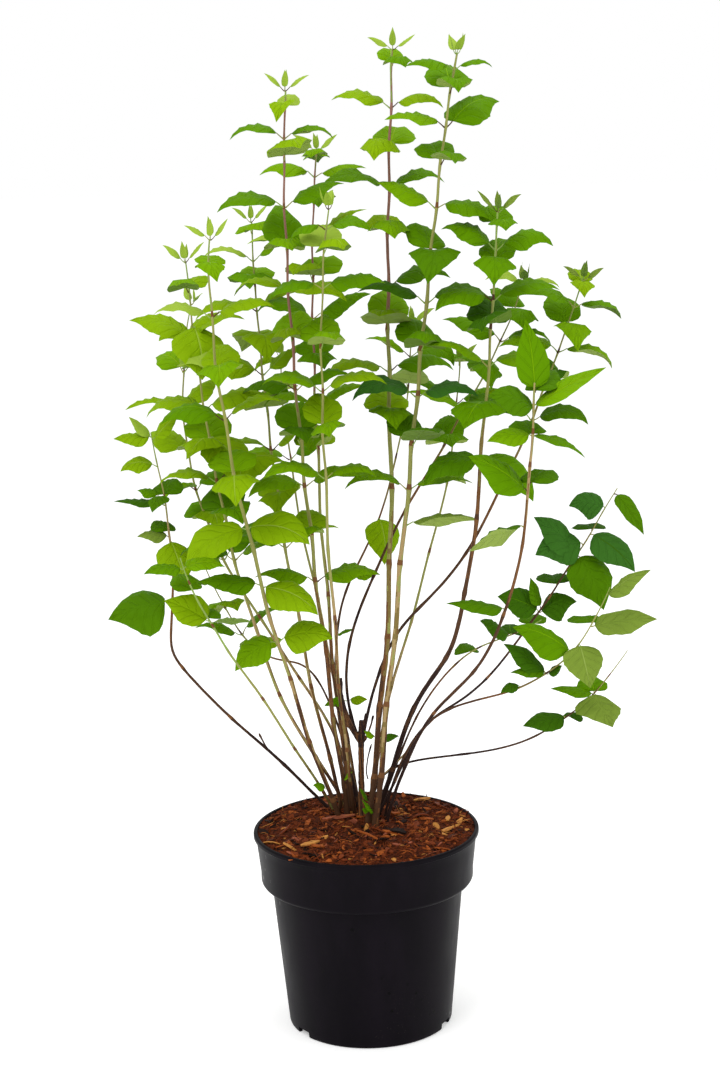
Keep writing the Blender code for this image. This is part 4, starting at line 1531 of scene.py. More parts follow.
LONE_LEAVES = (
    *lone("left_arching",
          (0.62, 180, 0.061, -7, 22, 70, Tint.DEEP, 0.47, 0.9), (0.76, 300, 0.048, -46, 20, 20, Tint.BRIGHT, 0.4),
          (0.99, 185, 0.036, 10, 26, 40, Tint.BRIGHT, 0.34), (0.99, 170, 0.028, 50, 10, 40, Tint.YOUNG, 0.28),
          (0.985, 8, 0.034, 48, 12, 44, Tint.BRIGHT, 0.36), (0.925, 182, 0.035, 22, 76, 44, Tint.BRIGHT, 0.4, 0.9),
          (0.84, 178, 0.045, 12, 24, 4, Tint.DARK, 0.28, 1), (0.85, 150, 0.024, 34, 60, 20, Tint.GRASS, 0.4, 1.6),
          (0.86, 80, 0.042, 34, 50, 0, Tint.DEEP, 0.38), (0.86, 250, 0.03, 0, 60, 0, Tint.DEEP, 0.36),
          (0.77, 180, 0.032, 24, 60, 20, Tint.SAGE, 0.4), (0.78, 120, 0.034, 30, 50, 0, Tint.DEEP, 0.38)),
    *lone("left_mid",
          (0.865, 292, 0.06, -38, 34, 0, Tint.BRIGHT, 0.44, 0.9),
          (0.69, 322, 0.064, -24, 46, 24, Tint.BRIGHT, 0.43, 0.6)),
    *lone("left_front",
          (0.335, 184, 0.046, -18, 44, 64, Tint.MID, 0.4, 0.8), (0.335, 356, 0.05, 22, 60, 62, Tint.BRIGHT, 0.42, 0.8),
          (0.435, 178, 0.056, 16, 28, 34, Tint.GRASS, 0.3, 0.6), (0.43, 352, 0.06, -6, 52, 56, Tint.BRIGHT, 0.34, 0.3),
          (0.53, 192, 0.072, -6, 66, 50, Tint.BRIGHT, 0.32, 0.4),
          (0.53, 346, 0.062, 12, 70, 56, Tint.BRIGHT, 0.38, 0.4)),
    *lone("left_low_front",
          (0.71, 172, 0.044, 38, 24, 66, Tint.BRIGHT, 0.42), (0.7, 352, 0.04, 14, 24, -46, Tint.GRASS, 0.26),
          (0.87, 20, 0.04, 20, 60, 30, Tint.MID), (0.87, 200, 0.036, 20, 60, 30, Tint.GRASS),
          (0.71, 90, 0.04, 20, 50, 0, Tint.GRASS), (0.8, 110, 0.046, 30, 50, 0, Tint.GRASS)),
    *lone("centre_back",
          (0.58, 290, 0.052, -46, 26, 0, Tint.BRIGHT, 0.38), (0.46, 180, 0.026, -4, 20, 24, Tint.MID, 0.36),
          (0.46, 0, 0.022, 10, 30, 24, Tint.MID, 0.36), (0.34, 330, 0.018, 30, 30, 20, Tint.GRASS, 0.4)),
    *lone("centre_right",
          (0.402, 0, 0.066, 16, 38, -40, Tint.SAGE, 0.24, 0.8)),
    *lone("right_back",
          (0.075, 182, 0.022, 4, 36, 46, Tint.GRASS, 0.32), (0.075, 358, 0.018, 8, 10, 60, Tint.BRIGHT, 0.34)),
    *lone("right_mid",
          (0.615, 2, 0.066, -14, 68, 56, Tint.GRASS, 0.36), (0.615, 182, 0.064, 14, 92, 30, Tint.DEEP, 0.36),
          (0.7, 250, 0.06, 10, 70, 0, Tint.GRASS, 0.45), (0.69, 70, 0.054, 26, 60, 0, Tint.DEEP, 0.4)),
    *lone("right_front",
          (0.53, 180, 0.054, 18, 26, 20, Tint.DEEP, 0.24), (0.68, 190, 0.054, -12, 26, -52, Tint.DEEP, 0.38),
          (0.74, 184, 0.06, 44, 30, 56, Tint.GRASS, 0.36), (0.75, 60, 0.05, 30, 70, 0, Tint.DEEP, 0.38),
          (0.83, 182, 0.04, 10, 40, 50, Tint.MID, 0.34), (0.83, 2, 0.054, -4, 50, 16, Tint.GRASS, 0.24, 0.1),
          (0.83, 100, 0.046, 30, 60, 0, Tint.DEEP, 0.38), (0.875, 184, 0.044, 40, 56, 56, Tint.DEEP, 0.46, 0.1),
          (0.88, 356, 0.072, 33, 16, 34, Tint.MID, 0.24, 0.1), (0.905, 92, 0.062, 80, -6, 0, Tint.GRASS, 0.25, 0.2),
          (0.9, 60, 0.046, 40, 50, 0, Tint.DEEP, 0.36, 0.3)),
    *lone("right_low_mid",
          (0.655, 2, 0.038, 40, 60, 62, Tint.DARK, 0.46), (0.655, 176, 0.042, 32, 30, 62, Tint.DARK, 0.46),
          (0.665, 165, 0.03, 74, 10, 50, Tint.DEEP, 0.28), (0.73, 100, 0.046, 20, 60, 0, Tint.DARK, 0.4),
          (0.815, 322, 0.06, -42, 30, 60, Tint.DEEP, 0.4), (0.82, 175, 0.054, 52, 30, 66, Tint.BLUE, 0.34),
          (0.845, 182, 0.048, 4, 40, 74, Tint.BLUE, 0.44), (0.875, 340, 0.056, -26, 36, 72, Tint.BLUE, 0.32),
          (0.885, 100, 0.044, 10, 50, 0, Tint.DARK, 0.4), (0.945, 172, 0.036, 26, 60, 74, Tint.BLUE, 0.46),
          (0.985, 330, 0.048, -46, 16, 40, Tint.DEEP, 0.24)),
    *lone("right_low_front",
          (0.605, 182, 0.02, 4, 60, 50, Tint.DARK, 0.36), (0.68, 172, 0.048, 44, 26, 50, Tint.DARK, 0.28),
          (0.682, 180, 0.034, 14, 30, 40, Tint.DEEP, 0.24), (0.684, 355, 0.016, 40, 10, 60, Tint.DARK, 0.4),
          (0.765, 176, 0.06, 40, 40, 50, Tint.GRASS, 0.34), (0.795, 300, 0.042, -58, 20, 30, Tint.SAGE, 0.48),
          (0.85, 0, 0.062, 14, 26, 44, Tint.SAGE, 0.3), (0.855, 100, 0.05, 10, 50, 0, Tint.DEEP, 0.36),
          (0.94, 350, 0.048, 44, 30, 40, Tint.SAGE, 0.28, 0.1)),
    *lone("right_lowest",
          (0.72, 188, 0.044, 0, 20, 44, Tint.DARK, 0.34), (0.725, 60, 0.03, 10, 50, 10, Tint.DARK, 0.38),
          (0.835, 290, 0.04, -30, 30, 0, Tint.SAGE, 0.58), (0.83, 176, 0.042, 16, 26, 24, Tint.GRASS, 0.26, 0.2),
          (0.835, 100, 0.034, 30, 30, 0, Tint.GRASS, 0.46)),
    *lone("right_low_back",
          (0.86, 190, 0.04, 40, 30, 60, Tint.DARK, 0.36), (0.87, 80, 0.042, 20, 50, 0, Tint.DARK, 0.4),
          (0.96, 80, 0.04, 20, 50, 0, Tint.DEEP, 0.38), (0.7, 100, 0.036, 20, 50, 0, Tint.DEEP, 0.38)),
    *lone("left_front",
          (0.06, 178, 0.013, 30, 40, 60, Tint.GRASS, 0.42, 0.2)),
    *lone("left_tall",
          (0.055, 330, 0.013, 56, 30, 60, Tint.MID, 0.36, 0.2)),
    *lone("centre_tall",
          (0.03, 200, 0.017, 66, 20, 60, Tint.DEEP, 0.26, 0.2), (0.02, 250, 0.012, 20, 70, 20, Tint.DEEP, 0.44, 0.2)),
    *lone("centre_right",
          (0.018, 200, 0.02, 60, 20, 40, Tint.DEEP, 0.24, 0.2)),
    *lone("centre_tall",
          (0.115, 358, 0.018, 12, 26, 50, Tint.DARK, 0.32), (0.115, 170, 0.012, 30, 10, 50, Tint.MID, 0.36)),
)


BUD = (0.8, 1.0, 0.5)  # widths of a twig's last rings, against its bud's


@dataclass(frozen=True)
class Twig:
    """A thin side twig with a bud at its end."""

    line: tuple[tuple[float, float, float], ...]
    radius: float
    tone: Bark
    bud: float = 1.5  # how much wider its bud is


TWIGS = (
    Twig(((0.0032, -0.004, 0.256), (0.0014, -0.004, 0.2635), (0.0036, -0.0035, 0.279), (0.0076, -0.003, 0.2925)),
         0.0007, Bark.NIGHT),
    Twig(((-0.0995, 0.0535, 0.272), (-0.1028, 0.052, 0.2777), (-0.1086, 0.0515, 0.2905)), 0.0009, Bark.DARK),
    Twig(((0.0145, 0.0300, 0.246), (0.0205, 0.0308, 0.250), (0.0330, 0.0325, 0.261), (0.0527, 0.036, 0.2805)),
         0.0009, Bark.TAN),
)


@dataclass
class OldWood:
    """The cut-back main stem: a knuckle that carries a dead arm, cut stubs and two short twigs."""

    arms: tuple = (
        ((-0.0040, 0.0220, 0.2000, 0.0042), (-0.0040, 0.0221, 0.2100, 0.0037), (-0.0036, 0.0230, 0.2500, 0.0031),
         (-0.0030, 0.0238, 0.2800, 0.0031), (-0.0028, 0.0240, 0.2880, 0.0036), (-0.0020, 0.0240, 0.2990, 0.0036),
         (-0.0014, 0.0240, 0.3095, 0.0031)),
        ((-0.0010, 0.0240, 0.2980, 0.0022), (0.0014, 0.0238, 0.3080, 0.0021), (0.0036, 0.0236, 0.3170, 0.0018)),
        ((-0.0030, 0.0240, 0.2860, 0.0030), (-0.0062, 0.0230, 0.2925, 0.0030), (-0.0123, 0.0210, 0.3025, 0.0028),
         (-0.0160, 0.0190, 0.3130, 0.0027), (-0.0188, 0.0175, 0.3240, 0.0023), (-0.0212, 0.0165, 0.3361, 0.0021),
         (-0.0232, 0.0160, 0.3440, 0.0029), (-0.0226, 0.0157, 0.3510, 0.0031), (-0.0214, 0.0155, 0.3575, 0.0014)),
        ((-0.0056, 0.0262, 0.2870, 0.0018), (-0.0110, 0.0268, 0.3000, 0.0020), (-0.0150, 0.0270, 0.3150, 0.0018)),
        ((-0.0014, 0.0240, 0.2862, 0.0018), (0.0020, 0.0238, 0.2895, 0.0014), (0.0052, 0.0230, 0.2980, 0.0011),
         (0.0080, 0.0225, 0.3060, 0.0010), (0.0098, 0.0221, 0.3130, 0.0012), (0.0102, 0.0220, 0.3150, 0.0013)),
        ((-0.0100, 0.0214, 0.2975, 0.0016), (-0.0150, 0.0208, 0.3035, 0.0013), (-0.0225, 0.0200, 0.3145, 0.0016),
         (-0.0250, 0.0195, 0.3210, 0.0010), (-0.0282, 0.0190, 0.3290, 0.0009)),
    )
    voxel: float = 0.00062
    knot_size: float = 0.0042
    knot_height: float = 0.0011
    axis: tuple[float, float] = (-0.0035, 0.023)  # that its streaks wind round
    streaks: tuple = ((5.0, 90.0, 1.0), (11.0, -140.0, 0.7))  # turns, twist and strength of each
    grain: float = 0.25
    knuckle: float = 0.282  # height below which it is paler
    low_bounds: tuple = (-0.9, 0.1, 1.2)
    high_bounds: tuple = (0.5, 1.3)
    tones: tuple[Bark, ...] = (Bark.NIGHT, Bark.DARK, Bark.BROWN, Bark.RUST)
    seed: int = 19

    def arm(self, number: int, line: tuple) -> bpy.types.Object:
        """Draw one arm as a round curve of changing width.

        Args:
            number: the arm's number.
            line: its points and radii.

        Returns:
            The arm as a mesh.
        """
        curve = bpy.data.curves.new(f"old_arm_{number}", "CURVE")
        curve.dimensions = "3D"
        curve.bevel_depth = 1.0
        curve.bevel_resolution = 4
        curve.resolution_u = 6
        curve.use_fill_caps = True
        spline = curve.splines.new("NURBS")
        spline.points.add(len(line) - 1)
        for point, (x, y, z, radius) in zip(spline.points, line):
            point.co = (x, y, z, 1.0)
            point.radius = radius
        spline.use_endpoint_u = True
        spline.order_u = 3
        make_active(link(curve.name, curve))
        bpy.ops.object.convert(target="MESH")
        return bpy.context.active_object

    def build(self) -> None:
        """Grow the arms into one rough piece and deal its tones in winding streaks."""
        join([self.arm(number, line) for number, line in enumerate(self.arms)])
        wood = new_part("old_wood")
        apply_modifier(wood, "REMESH", mode="VOXEL", voxel_size=self.voxel, adaptivity=0.0)
        apply_modifier(wood, "DISPLACE", texture=cloud("knots", self.knot_size), texture_coords="LOCAL",
                       direction="NORMAL", strength=self.knot_height, mid_level=0.5)
        apply_modifier(wood, "SMOOTH", factor=0.4, iterations=2)
        wear(wood.data, [tone.value for tone in self.tones])
        count = len(wood.data.polygons)
        centre = np.empty(count * 3)
        wood.data.polygons.foreach_get("center", centre)
        x, y, height = centre.reshape(-1, 3).T
        bearing = np.arctan2(y - self.axis[1], x - self.axis[0])
        streak = sum(strength * np.sin(turns * bearing + twist * height) for turns, twist, strength in self.streaks)
        streak = streak + np.random.default_rng(self.seed).normal(0.0, self.grain, count)
        pick = np.where(height < self.knuckle, np.digitize(streak, self.low_bounds),
                        np.digitize(streak, self.high_bounds))
        wood.data.polygons.foreach_set("material_index", pick.astype(np.int32))
        make_active(wood)
        bpy.ops.object.shade_smooth()
        settle(wood, "old_wood", "old_stem", "old_spur")


@dataclass(frozen=True)
class StemHabit:
    """How every stem is sectioned, jointed, bent, ridged and toned."""

    ring_run: float = 0.0055
    fewest_rings: int = 12
    sides: int = 11
    sink: float = 0.006  # how far it starts below its ground
    flare: float = 0.22  # how much wider its foot is
    flare_share: float = 0.06
    tip_size: float = 0.42  # width at the tip against the neck
    tip_run: float = 0.021  # how far below the tip it ends
    spacing: float = 0.10  # how much closer joints stand towards the tip
    unevenness: float = 0.16
    swell: float = 0.30  # how much wider it is at a joint
    joint_size: float = 0.0042
    bare_gap: float = 0.075  # between joints below the leaves
    short: float = 0.3  # length below which those joints keep their share apart
    lowest_joint: float = 0.02  # share of the length
    bend_size: float = 0.03
    stray: float = 0.0011  # to either side at its joints
    stray_back: float = 0.6  # backwards, against sideways
    stray_lag: int = 5  # rings between the two
    stout: float = 0.004  # width from which it strays in full
    ridge: float = 0.045
    ridge_mix: tuple[float, float] = (0.7, 0.5)  # of the ring below, and its own
    streak_mix: tuple[float, float] = (0.86, 0.5)
    ragged: float = 0.050  # how far tones run into each other
    foot_ragged: float = 0.09  # and how much further near the foot
    foot_share: float = 0.35
    ringed: float = 0.86  # how near a joint the dark ring reaches, 0 to 1
    ringed_below: float = 0.9  # share of the length


@dataclass(frozen=True)
class StalkHabit:
    """How a stalk leaves its stem and carries its blade."""

    length: float = 0.0085
    radius: float = 0.00062
    usual: float = 0.055  # length of a blade whose stalk has the full size
    length_mix: tuple[float, float] = (0.45, 0.55)  # fixed, and with the blade
    width_mix: tuple[float, float] = (0.55, 0.45)
    seat: float = 0.7  # where it starts, as a share of the stem's radius
    rise: tuple[float, float] = (0.75, 0.55)  # away from the stem, and along it
    low_share: float = 0.55
    high_share: float = 0.5
    lean: float = 0.25  # along the stem at its end
    points: int = 5
    sides: int = 5
    taper: tuple[float, ...] = (1.5, 1.1, 0.95, 0.9, 0.8)
    tones: tuple = ((Bark.GREEN, 0.50), (Bark.OLIVE, 0.30), (Bark.DARK, 0.20))


@dataclass(frozen=True)
class PairHabit:
    """How pairs of leaves are set and hang. Pitch and droop are in degrees, other angles in radians."""

    young: tuple[float, ...] = (0.66, 0.92)  # size of the topmost pairs
    length: tuple[float, float] = (0.90, 1.12)
    broad: tuple[float, float] = (0.88, 1.12)
    turn_error: float = 0.12
    twin_error: float = 0.10
    pitch: tuple[float, float] = (33.0, 8.0)
    top_flatter: float = 6.0
    droop: float = 80.0
    droop_more: float = 6.0
    droop_error: float = 14.0
    roll: float = 0.16
    slack: float = 0.9  # how much looser the leaves of dark shoots hang
    fresh_above: float = 0.80  # share of the crown above which young leaves are likelier
    fresh: tuple[float, float] = (0.5, 0.06)  # for shoots with and without young leaves lower down
    bright: float = 0.3
    steps: tuple[int, ...] = (-1, 0, 0, 1)  # from the pair's tint to a leaf's
    top_pairs: int = 4  # pairs whose tints stay light
    top_darkest: int = 3
    darkest: int = 6
    young_below: float = 0.6  # share of the crown below which no leaf is young
    tilt: float = 0.19  # how far blades turn their faces outwards
    droop_turn: tuple[float, float] = (0.05, 0.25)  # towards the light, and away from it
    pitch_turn: tuple[float, float] = (0.06, 0.26)
    middle: tuple[float, float, float] = (0.01, 0.03, 0.0)
    light: tuple[float, float, float] = (-0.15, -0.9, 0.0)


@dataclass(frozen=True)
class TipHabit:
    """The two pairs of small leaves at a tip: one that opens and one still upright. Angles are in degrees."""

    length: tuple[float, float] = (0.019, 0.024)
    broad: float = 0.20
    pitch: tuple[float, float] = (36.0, 56.0)
    droop: tuple[float, float] = (10.0, 40.0)
    face: tuple[float, float] = (0.6, 1.2)  # radians
    bud_length: tuple[float, float] = (0.014, 0.018)
    bud_broad: float = 0.19
    bud_pitch: tuple[float, float] = (76.0, 86.0)
    bud_droop: float = 4.0


@dataclass
class Crown:
    """Every stem, stalk and leaf of the shrub."""

    shoots: tuple[Shoot, ...] = SHOOTS
    seed: int = 2041
    stem: StemHabit = StemHabit()
    stalk: StalkHabit = StalkHabit()
    pair: PairHabit = PairHabit()
    tip: TipHabit = TipHabit()
    under_pale: tuple[float, float] = (0.75, 0.35)  # chance of the paler underside, for light tints and dark ones
    light_tints: int = 4
    rib_pale: float = 0.3  # chance of a paler rib
    crisp: float = 1.1  # radians between a blade's faces past which an edge stays crisp

    def __post_init__(self) -> None:
        """Start the piles that the pieces are made from."""
        self.rng = np.random.default_rng(self.seed)
        self.stems = Heap()
        self.stalks: list[tuple[np.ndarray, float]] = []
        self.blades: dict[str, list[Blade]] = {"leaves_bright": [], "leaves_deep": []}

    def facing(self, point: np.ndarray) -> np.ndarray:
        """Give the level direction that blades at a point turn their faces to: out of the crown and to the light."""
        outwards = unit((point - np.array(self.pair.middle)) * LEVEL)
        return unit(outwards + np.array(self.pair.light))

    def piece_of(self, place: str) -> str:
        """Name the leaf piece that a shoot's leaves go into."""
        return "leaves_deep" if place.startswith("right") else "leaves_bright"

    def end_share(self, shoot: Shoot, spine: Spine) -> float:
        """Give the share of the length where the stem ends, below its tip leaves."""
        return shoot.end if shoot.sparse else 1.0 - self.stem.tip_run / spine.length

    def node_shares(self, shoot: Shoot, spine: Spine) -> np.ndarray:
        """Give the shares of the length where a shoot's pairs stand, closer together towards the tip.

        Args:
            shoot: the shoot.
            spine: its curve.

        Returns:
            The shares, from the foot up.
        """
        if shoot.nodes:
            return np.array(shoot.nodes[::-1])
        uneven = self.rng.uniform(-self.stem.unevenness, self.stem.unevenness, shoot.pairs)
        run = (np.arange(shoot.pairs) + uneven) / shoot.pairs
        close = self.stem.spacing
        top = self.end_share(shoot, spine)
        return shoot.bare + (top - shoot.bare) * ((1 + close) * run - close * run ** 2).clip(0.0, 1.0)

    def radius_at(self, shoot: Shoot, shares: np.ndarray) -> np.ndarray:
        """Give the stem's radius at shares of its length: flared foot, even taper, finer above the neck.

        Args:
            shoot: the shoot.
            shares: shares of its length.

        Returns:
            The radius at each share.
        """
        habit = self.stem
        above = ((shares - shoot.bare) / (1 - shoot.bare)).clip(0.0, 1.0)
        low = shoot.stem + (shoot.neck - shoot.stem) * (shares / shoot.bare)
        high = shoot.neck * (1 - (1 - habit.tip_size) * above)
        flare = 1.0 + habit.flare * np.maximum(0.0, 1.0 - shares / habit.flare_share) ** 2
        return 0.5 * np.where(shares < shoot.bare, low, high) * flare

    def grow_stem(self, shoot: Shoot, spine: Spine, nodes: np.ndarray) -> None:
        """Sweep a shoot's stem, with swollen joints, faint ridges and tones dealt along it.

        Args:
            shoot: the shoot.
            spine: its line.
            nodes: shares where leaves stand.
        """
        habit, length = self.stem, spine.length
        rings = max(habit.fewest_rings, int(length / habit.ring_run))
        shares = np.linspace(-habit.sink / length, self.end_share(shoot, spine), rings)
        above = shares.clip(0.0, 1.0)
        line = spine.at(above)
        line[0] = line[1] - spine.heading(0.0) * habit.sink
        bare_joints = np.arange(nodes[0], habit.lowest_joint, -habit.bare_gap / max(length, habit.short))[1:]
        joints = np.concatenate((nodes, bare_joints))
        apart = np.abs(shares[:, None] - joints[None]) * length
        bump = np.exp(-(apart.min(axis=1) / habit.joint_size) ** 2)
        side, depth = spine.frame(above)
        bend = np.zeros(rings)
        for number, joint in enumerate(sorted(joints)):
            bend += (-1) ** number * np.exp(-((shares - joint) * length / habit.bend_size) ** 2)
        stray = habit.stray * min(1.0, shoot.stem / habit.stout)
        back = np.roll(bend, habit.stray_lag) * stray * habit.stray_back
        line = line + side * (bend * stray)[:, None] + depth * back[:, None]
        radius = self.radius_at(shoot, above) * (1 + habit.swell * bump)
        ridges = self.rng.normal(0.0, habit.ridge, (rings, habit.sides))
        ridges[1:] = habit.ridge_mix[0] * ridges[:-1] + habit.ridge_mix[1] * ridges[1:]
        tube = sweep(line[None], (radius[:, None] * (1 + ridges))[None], habit.sides, DEPTH)
        slots = self.deal_bark(shoot, shares, bump)
        self.stems.add(tube, tube_faces(rings, habit.sides),
                       np.concatenate((slots[:-1].reshape(-1), slots[0], slots[-1]))[None])

    def deal_bark(self, shoot: Shoot, shares: np.ndarray, bump: np.ndarray) -> np.ndarray:
        """Deal a tone of bark to each face of a stem, in streaks that run along it.

        Args:
            shoot: the shoot.
            shares: share of the length at each ring.
            bump: how near each ring is to a joint, 0 to 1.

        Returns:
            Tone numbers, (rings, sides).
        """
        habit = self.stem
        kept, own = habit.streak_mix
        starts = np.array([start for start, _ in shoot.growth.value])
        numbers = np.array([tone.slot for _, tone in shoot.growth.value])
        streak = self.rng.normal(0.0, 1.0, (len(shares), habit.sides))
        for ring in range(1, len(shares)):
            streak[ring] = kept * streak[ring - 1] + own * streak[ring]
        around = (streak + np.roll(streak, 1, axis=1)) * 0.5
        shares = shares[:, None]
        placed = shares + (habit.ragged + habit.foot_ragged * (shares < habit.foot_share)) * around
        pick = (np.searchsorted(starts, placed.clip(0.0, 1.0), side="right") - 1).clip(0, len(starts) - 1)
        dark = (Bark.DARK if shoot.growth is Growth.DARK else Bark.BROWN).slot
        ringed = (bump[:, None] > habit.ringed) & (shares < habit.ringed_below)
        return np.where(ringed, dark, numbers[pick])

    def grow_twig(self, twig: Twig, points: int = 12, sides: int = 7) -> None:
        """Sweep a side twig that swells into a bud at its end.

        Args:
            twig: the twig.
            points: rings along it.
            sides: corners in each ring.
        """
        given = np.array(twig.line)
        run = np.linspace(0.0, len(given) - 1.0, points)
        line = np.stack([np.interp(run, np.arange(len(given)), given[:, axis]) for axis in range(3)], axis=-1)
        line[1:-1] = 0.25 * line[:-2] + 0.5 * line[1:-1] + 0.25 * line[2:]
        width = np.ones(points)
        width[-len(BUD):] = twig.bud * np.array(BUD)
        faces = tube_faces(points, sides)
        self.stems.add(sweep(line[None], (twig.radius * width)[None], sides, DEPTH), faces,
                       face_slots(np.array([twig.tone.slot]), faces))

    def hang(self, shoot: Shoot, spine: Spine, share: float, bearing: float, length: float, broad: float,
             pitch: float, droop: float, tint: int, roll: float = 0.0, face: float | None = None,
             stalk: float = 1.0) -> None:
        """Hang one leaf on its stalk.

        Args:
            shoot: the shoot that bears it.
            spine: its line.
            share: where on the shoot, as a share of its length.
            bearing: direction round the stem, in radians.
            length: of the blade.
            broad: half its width as a share of its length.
            pitch: how steeply the blade rises at its base, in radians.
            droop: how far it bends down by its tip, in radians.
            tint: number of its tint.
            roll: turn about its midrib, in radians.
            face: how far its top is turned to the front, in radians, or None to turn it out of the crown.
            stalk: length of its stalk as a share of the usual one.
        """
        habit = self.stalk
        side, depth = spine.frame(share)
        heading = spine.heading(share)
        away = side * math.cos(bearing) + depth * math.sin(bearing)
        level = unit(away * LEVEL + 1e-6 * side)
        start = spine.at(share) + away * float(self.radius_at(shoot, np.array([share]))[0]) * habit.seat
        (length_fixed, length_more), (width_fixed, width_more) = habit.length_mix, habit.width_mix
        reach = stalk * habit.length * (length_fixed + length_more * length / habit.usual)
        middle = start + unit(away * habit.rise[0] + heading * habit.rise[1]) * reach * habit.low_share
        ahead = unit(level * math.cos(pitch) + UP * math.sin(pitch) + heading * habit.lean)
        end = middle + ahead * reach * habit.high_share
        t = np.linspace(0.0, 1.0, habit.points)[:, None]
        line = (1 - t) ** 2 * start + 2 * t * (1 - t) * middle + t ** 2 * end
        self.stalks.append((line, width_fixed + width_more * length / habit.usual))
        across = np.cross(UP, level)
        if face is None:
            facing = self.facing(end)
            lit = float(facing @ level)
            shaded = int(lit <= 0)
            roll = roll - self.pair.tilt * float(facing @ across)
            droop = droop * (1.0 + self.pair.droop_turn[shaded] * lit)
            pitch = pitch - self.pair.pitch_turn[shaded] * lit
        else:
            roll = roll + face * float(DEPTH @ across)
        self.blades[self.piece_of(shoot.place)].append(Blade(end, level, length, broad, pitch, droop, roll, tint))

    def grow_pairs(self, shoot: Shoot, spine: Spine, nodes: np.ndarray) -> None:
        """Hang a pair of leaves at each joint, each pair square to the one below.

        Args:
            shoot: the shoot.
            spine: its line.
            nodes: shares where the pairs stand.
        """
        rng, habit = self.rng, self.pair
        weights = np.array(shoot.leafage.value)
        loose = 1.0 + habit.slack * (shoot.growth is Growth.DARK)
        for below, share in enumerate(nodes[::-1]):
            up = (share - shoot.bare) / (1 - shoot.bare)
            grown = habit.young[below] if below < len(habit.young) else 1.0
            first = math.radians(shoot.turn + 90.0 * below) + rng.normal(0.0, habit.turn_error)
            fresh = habit.fresh[0] if weights[0] else habit.fresh[1]
            deal = weights.copy()
            deal[0] += fresh * max(0.0, up - habit.fresh_above) / (1 - habit.fresh_above)
            deal[1] += habit.bright * up * weights[1:3].sum()
            tint = rng.choice(len(deal), p=deal / deal.sum())
            lightest, darkest = int(up < habit.young_below), (
                habit.top_darkest if below < habit.top_pairs else habit.darkest)
            for twin in range(2):
                length = shoot.reach * grown * rng.uniform(*habit.length)
                pitch = math.radians(rng.normal(*habit.pitch) - habit.top_flatter * (below == 0))
                droop = math.radians(rng.normal(habit.droop + habit.droop_more * loose, habit.droop_error))
                own = int(np.clip(tint + rng.choice(habit.steps), lightest, darkest))
                self.hang(shoot, spine, share, first + math.pi * twin + rng.normal(0.0, habit.twin_error), length,
                          shoot.broad * rng.uniform(*habit.broad), pitch, droop, own,
                          rng.normal(0.0, habit.roll * loose))

    def grow_tip(self, shoot: Shoot, spine: Spine) -> None:
        """Hang the small young leaves at a shoot's tip.

        Args:
            shoot: the shoot.
            spine: its curve.
        """
        rng, habit = self.rng, self.tip
        top = self.end_share(shoot, spine)
        first = math.radians(shoot.turn - 90.0)
        young = (Tint.SAGE if shoot.place.startswith("right") else Tint.YOUNG).slot
        for twin in range(2):
            self.hang(shoot, spine, top, first + math.pi * twin, rng.uniform(*habit.length), habit.broad,
                      math.radians(rng.uniform(*habit.pitch)), math.radians(rng.uniform(*habit.droop)), young,
                      face=rng.uniform(*habit.face))
            self.hang(shoot, spine, top, first + math.pi * (twin + 0.5), rng.uniform(*habit.bud_length),
                      habit.bud_broad, math.radians(rng.uniform(*habit.bud_pitch)), math.radians(habit.bud_droop),
                      young)

    def build_stalks(self) -> bpy.types.Object:
        """Sweep every leaf stalk into one piece.

        Returns:
            The stalks as one piece.
        """
        habit = self.stalk
        lines = np.stack([line for line, _ in self.stalks])
        size = np.array([size for _, size in self.stalks])
        radii = habit.radius * size[:, None] * np.array(habit.taper)
        faces = tube_faces(habit.points, habit.sides)
        pick = self.rng.choice([tone.slot for tone, _ in habit.tones], len(lines), p=[odds for _, odds in habit.tones])
        heap = Heap()
        heap.add(sweep(lines, radii, habit.sides, UP), faces, face_slots(pick, faces))
        return heap.build("leaf_stalks", Bark.finishes())

    def build_leaves(self, name: str) -> bpy.types.Object:
        """Make one of the two leaf pieces, by its name.

        Args:
            name: the piece's name.

        Returns:
            The piece.
        """
        blades = self.blades[name]
        shape = LeafShape()
        tint = np.array([blade.tint for blade in blades])
        pale = self.rng.random(len(tint)) < np.where(tint < self.light_tints, *self.under_pale)
        under = np.where(pale, Tint.PALE_UNDER.slot, Tint.GREY_UNDER.slot)
        under = np.where(tint == Tint.YOUNG.slot, tint, under)
        lighter = np.where(tint == Tint.SAGE.slot, Tint.PALE_UNDER.slot, np.maximum(tint - 1, 0))
        rib = np.where(self.rng.random(len(tint)) < self.rib_pale, lighter, tint)
        slots = np.stack((tint, rib, under), axis=1)[:, shape.kinds]
        heap = Heap()
        heap.add(shape.bend(blades, self.rng), shape.faces, slots, shape.places())
        return heap.build(name, Tint.finishes(), self.crisp)

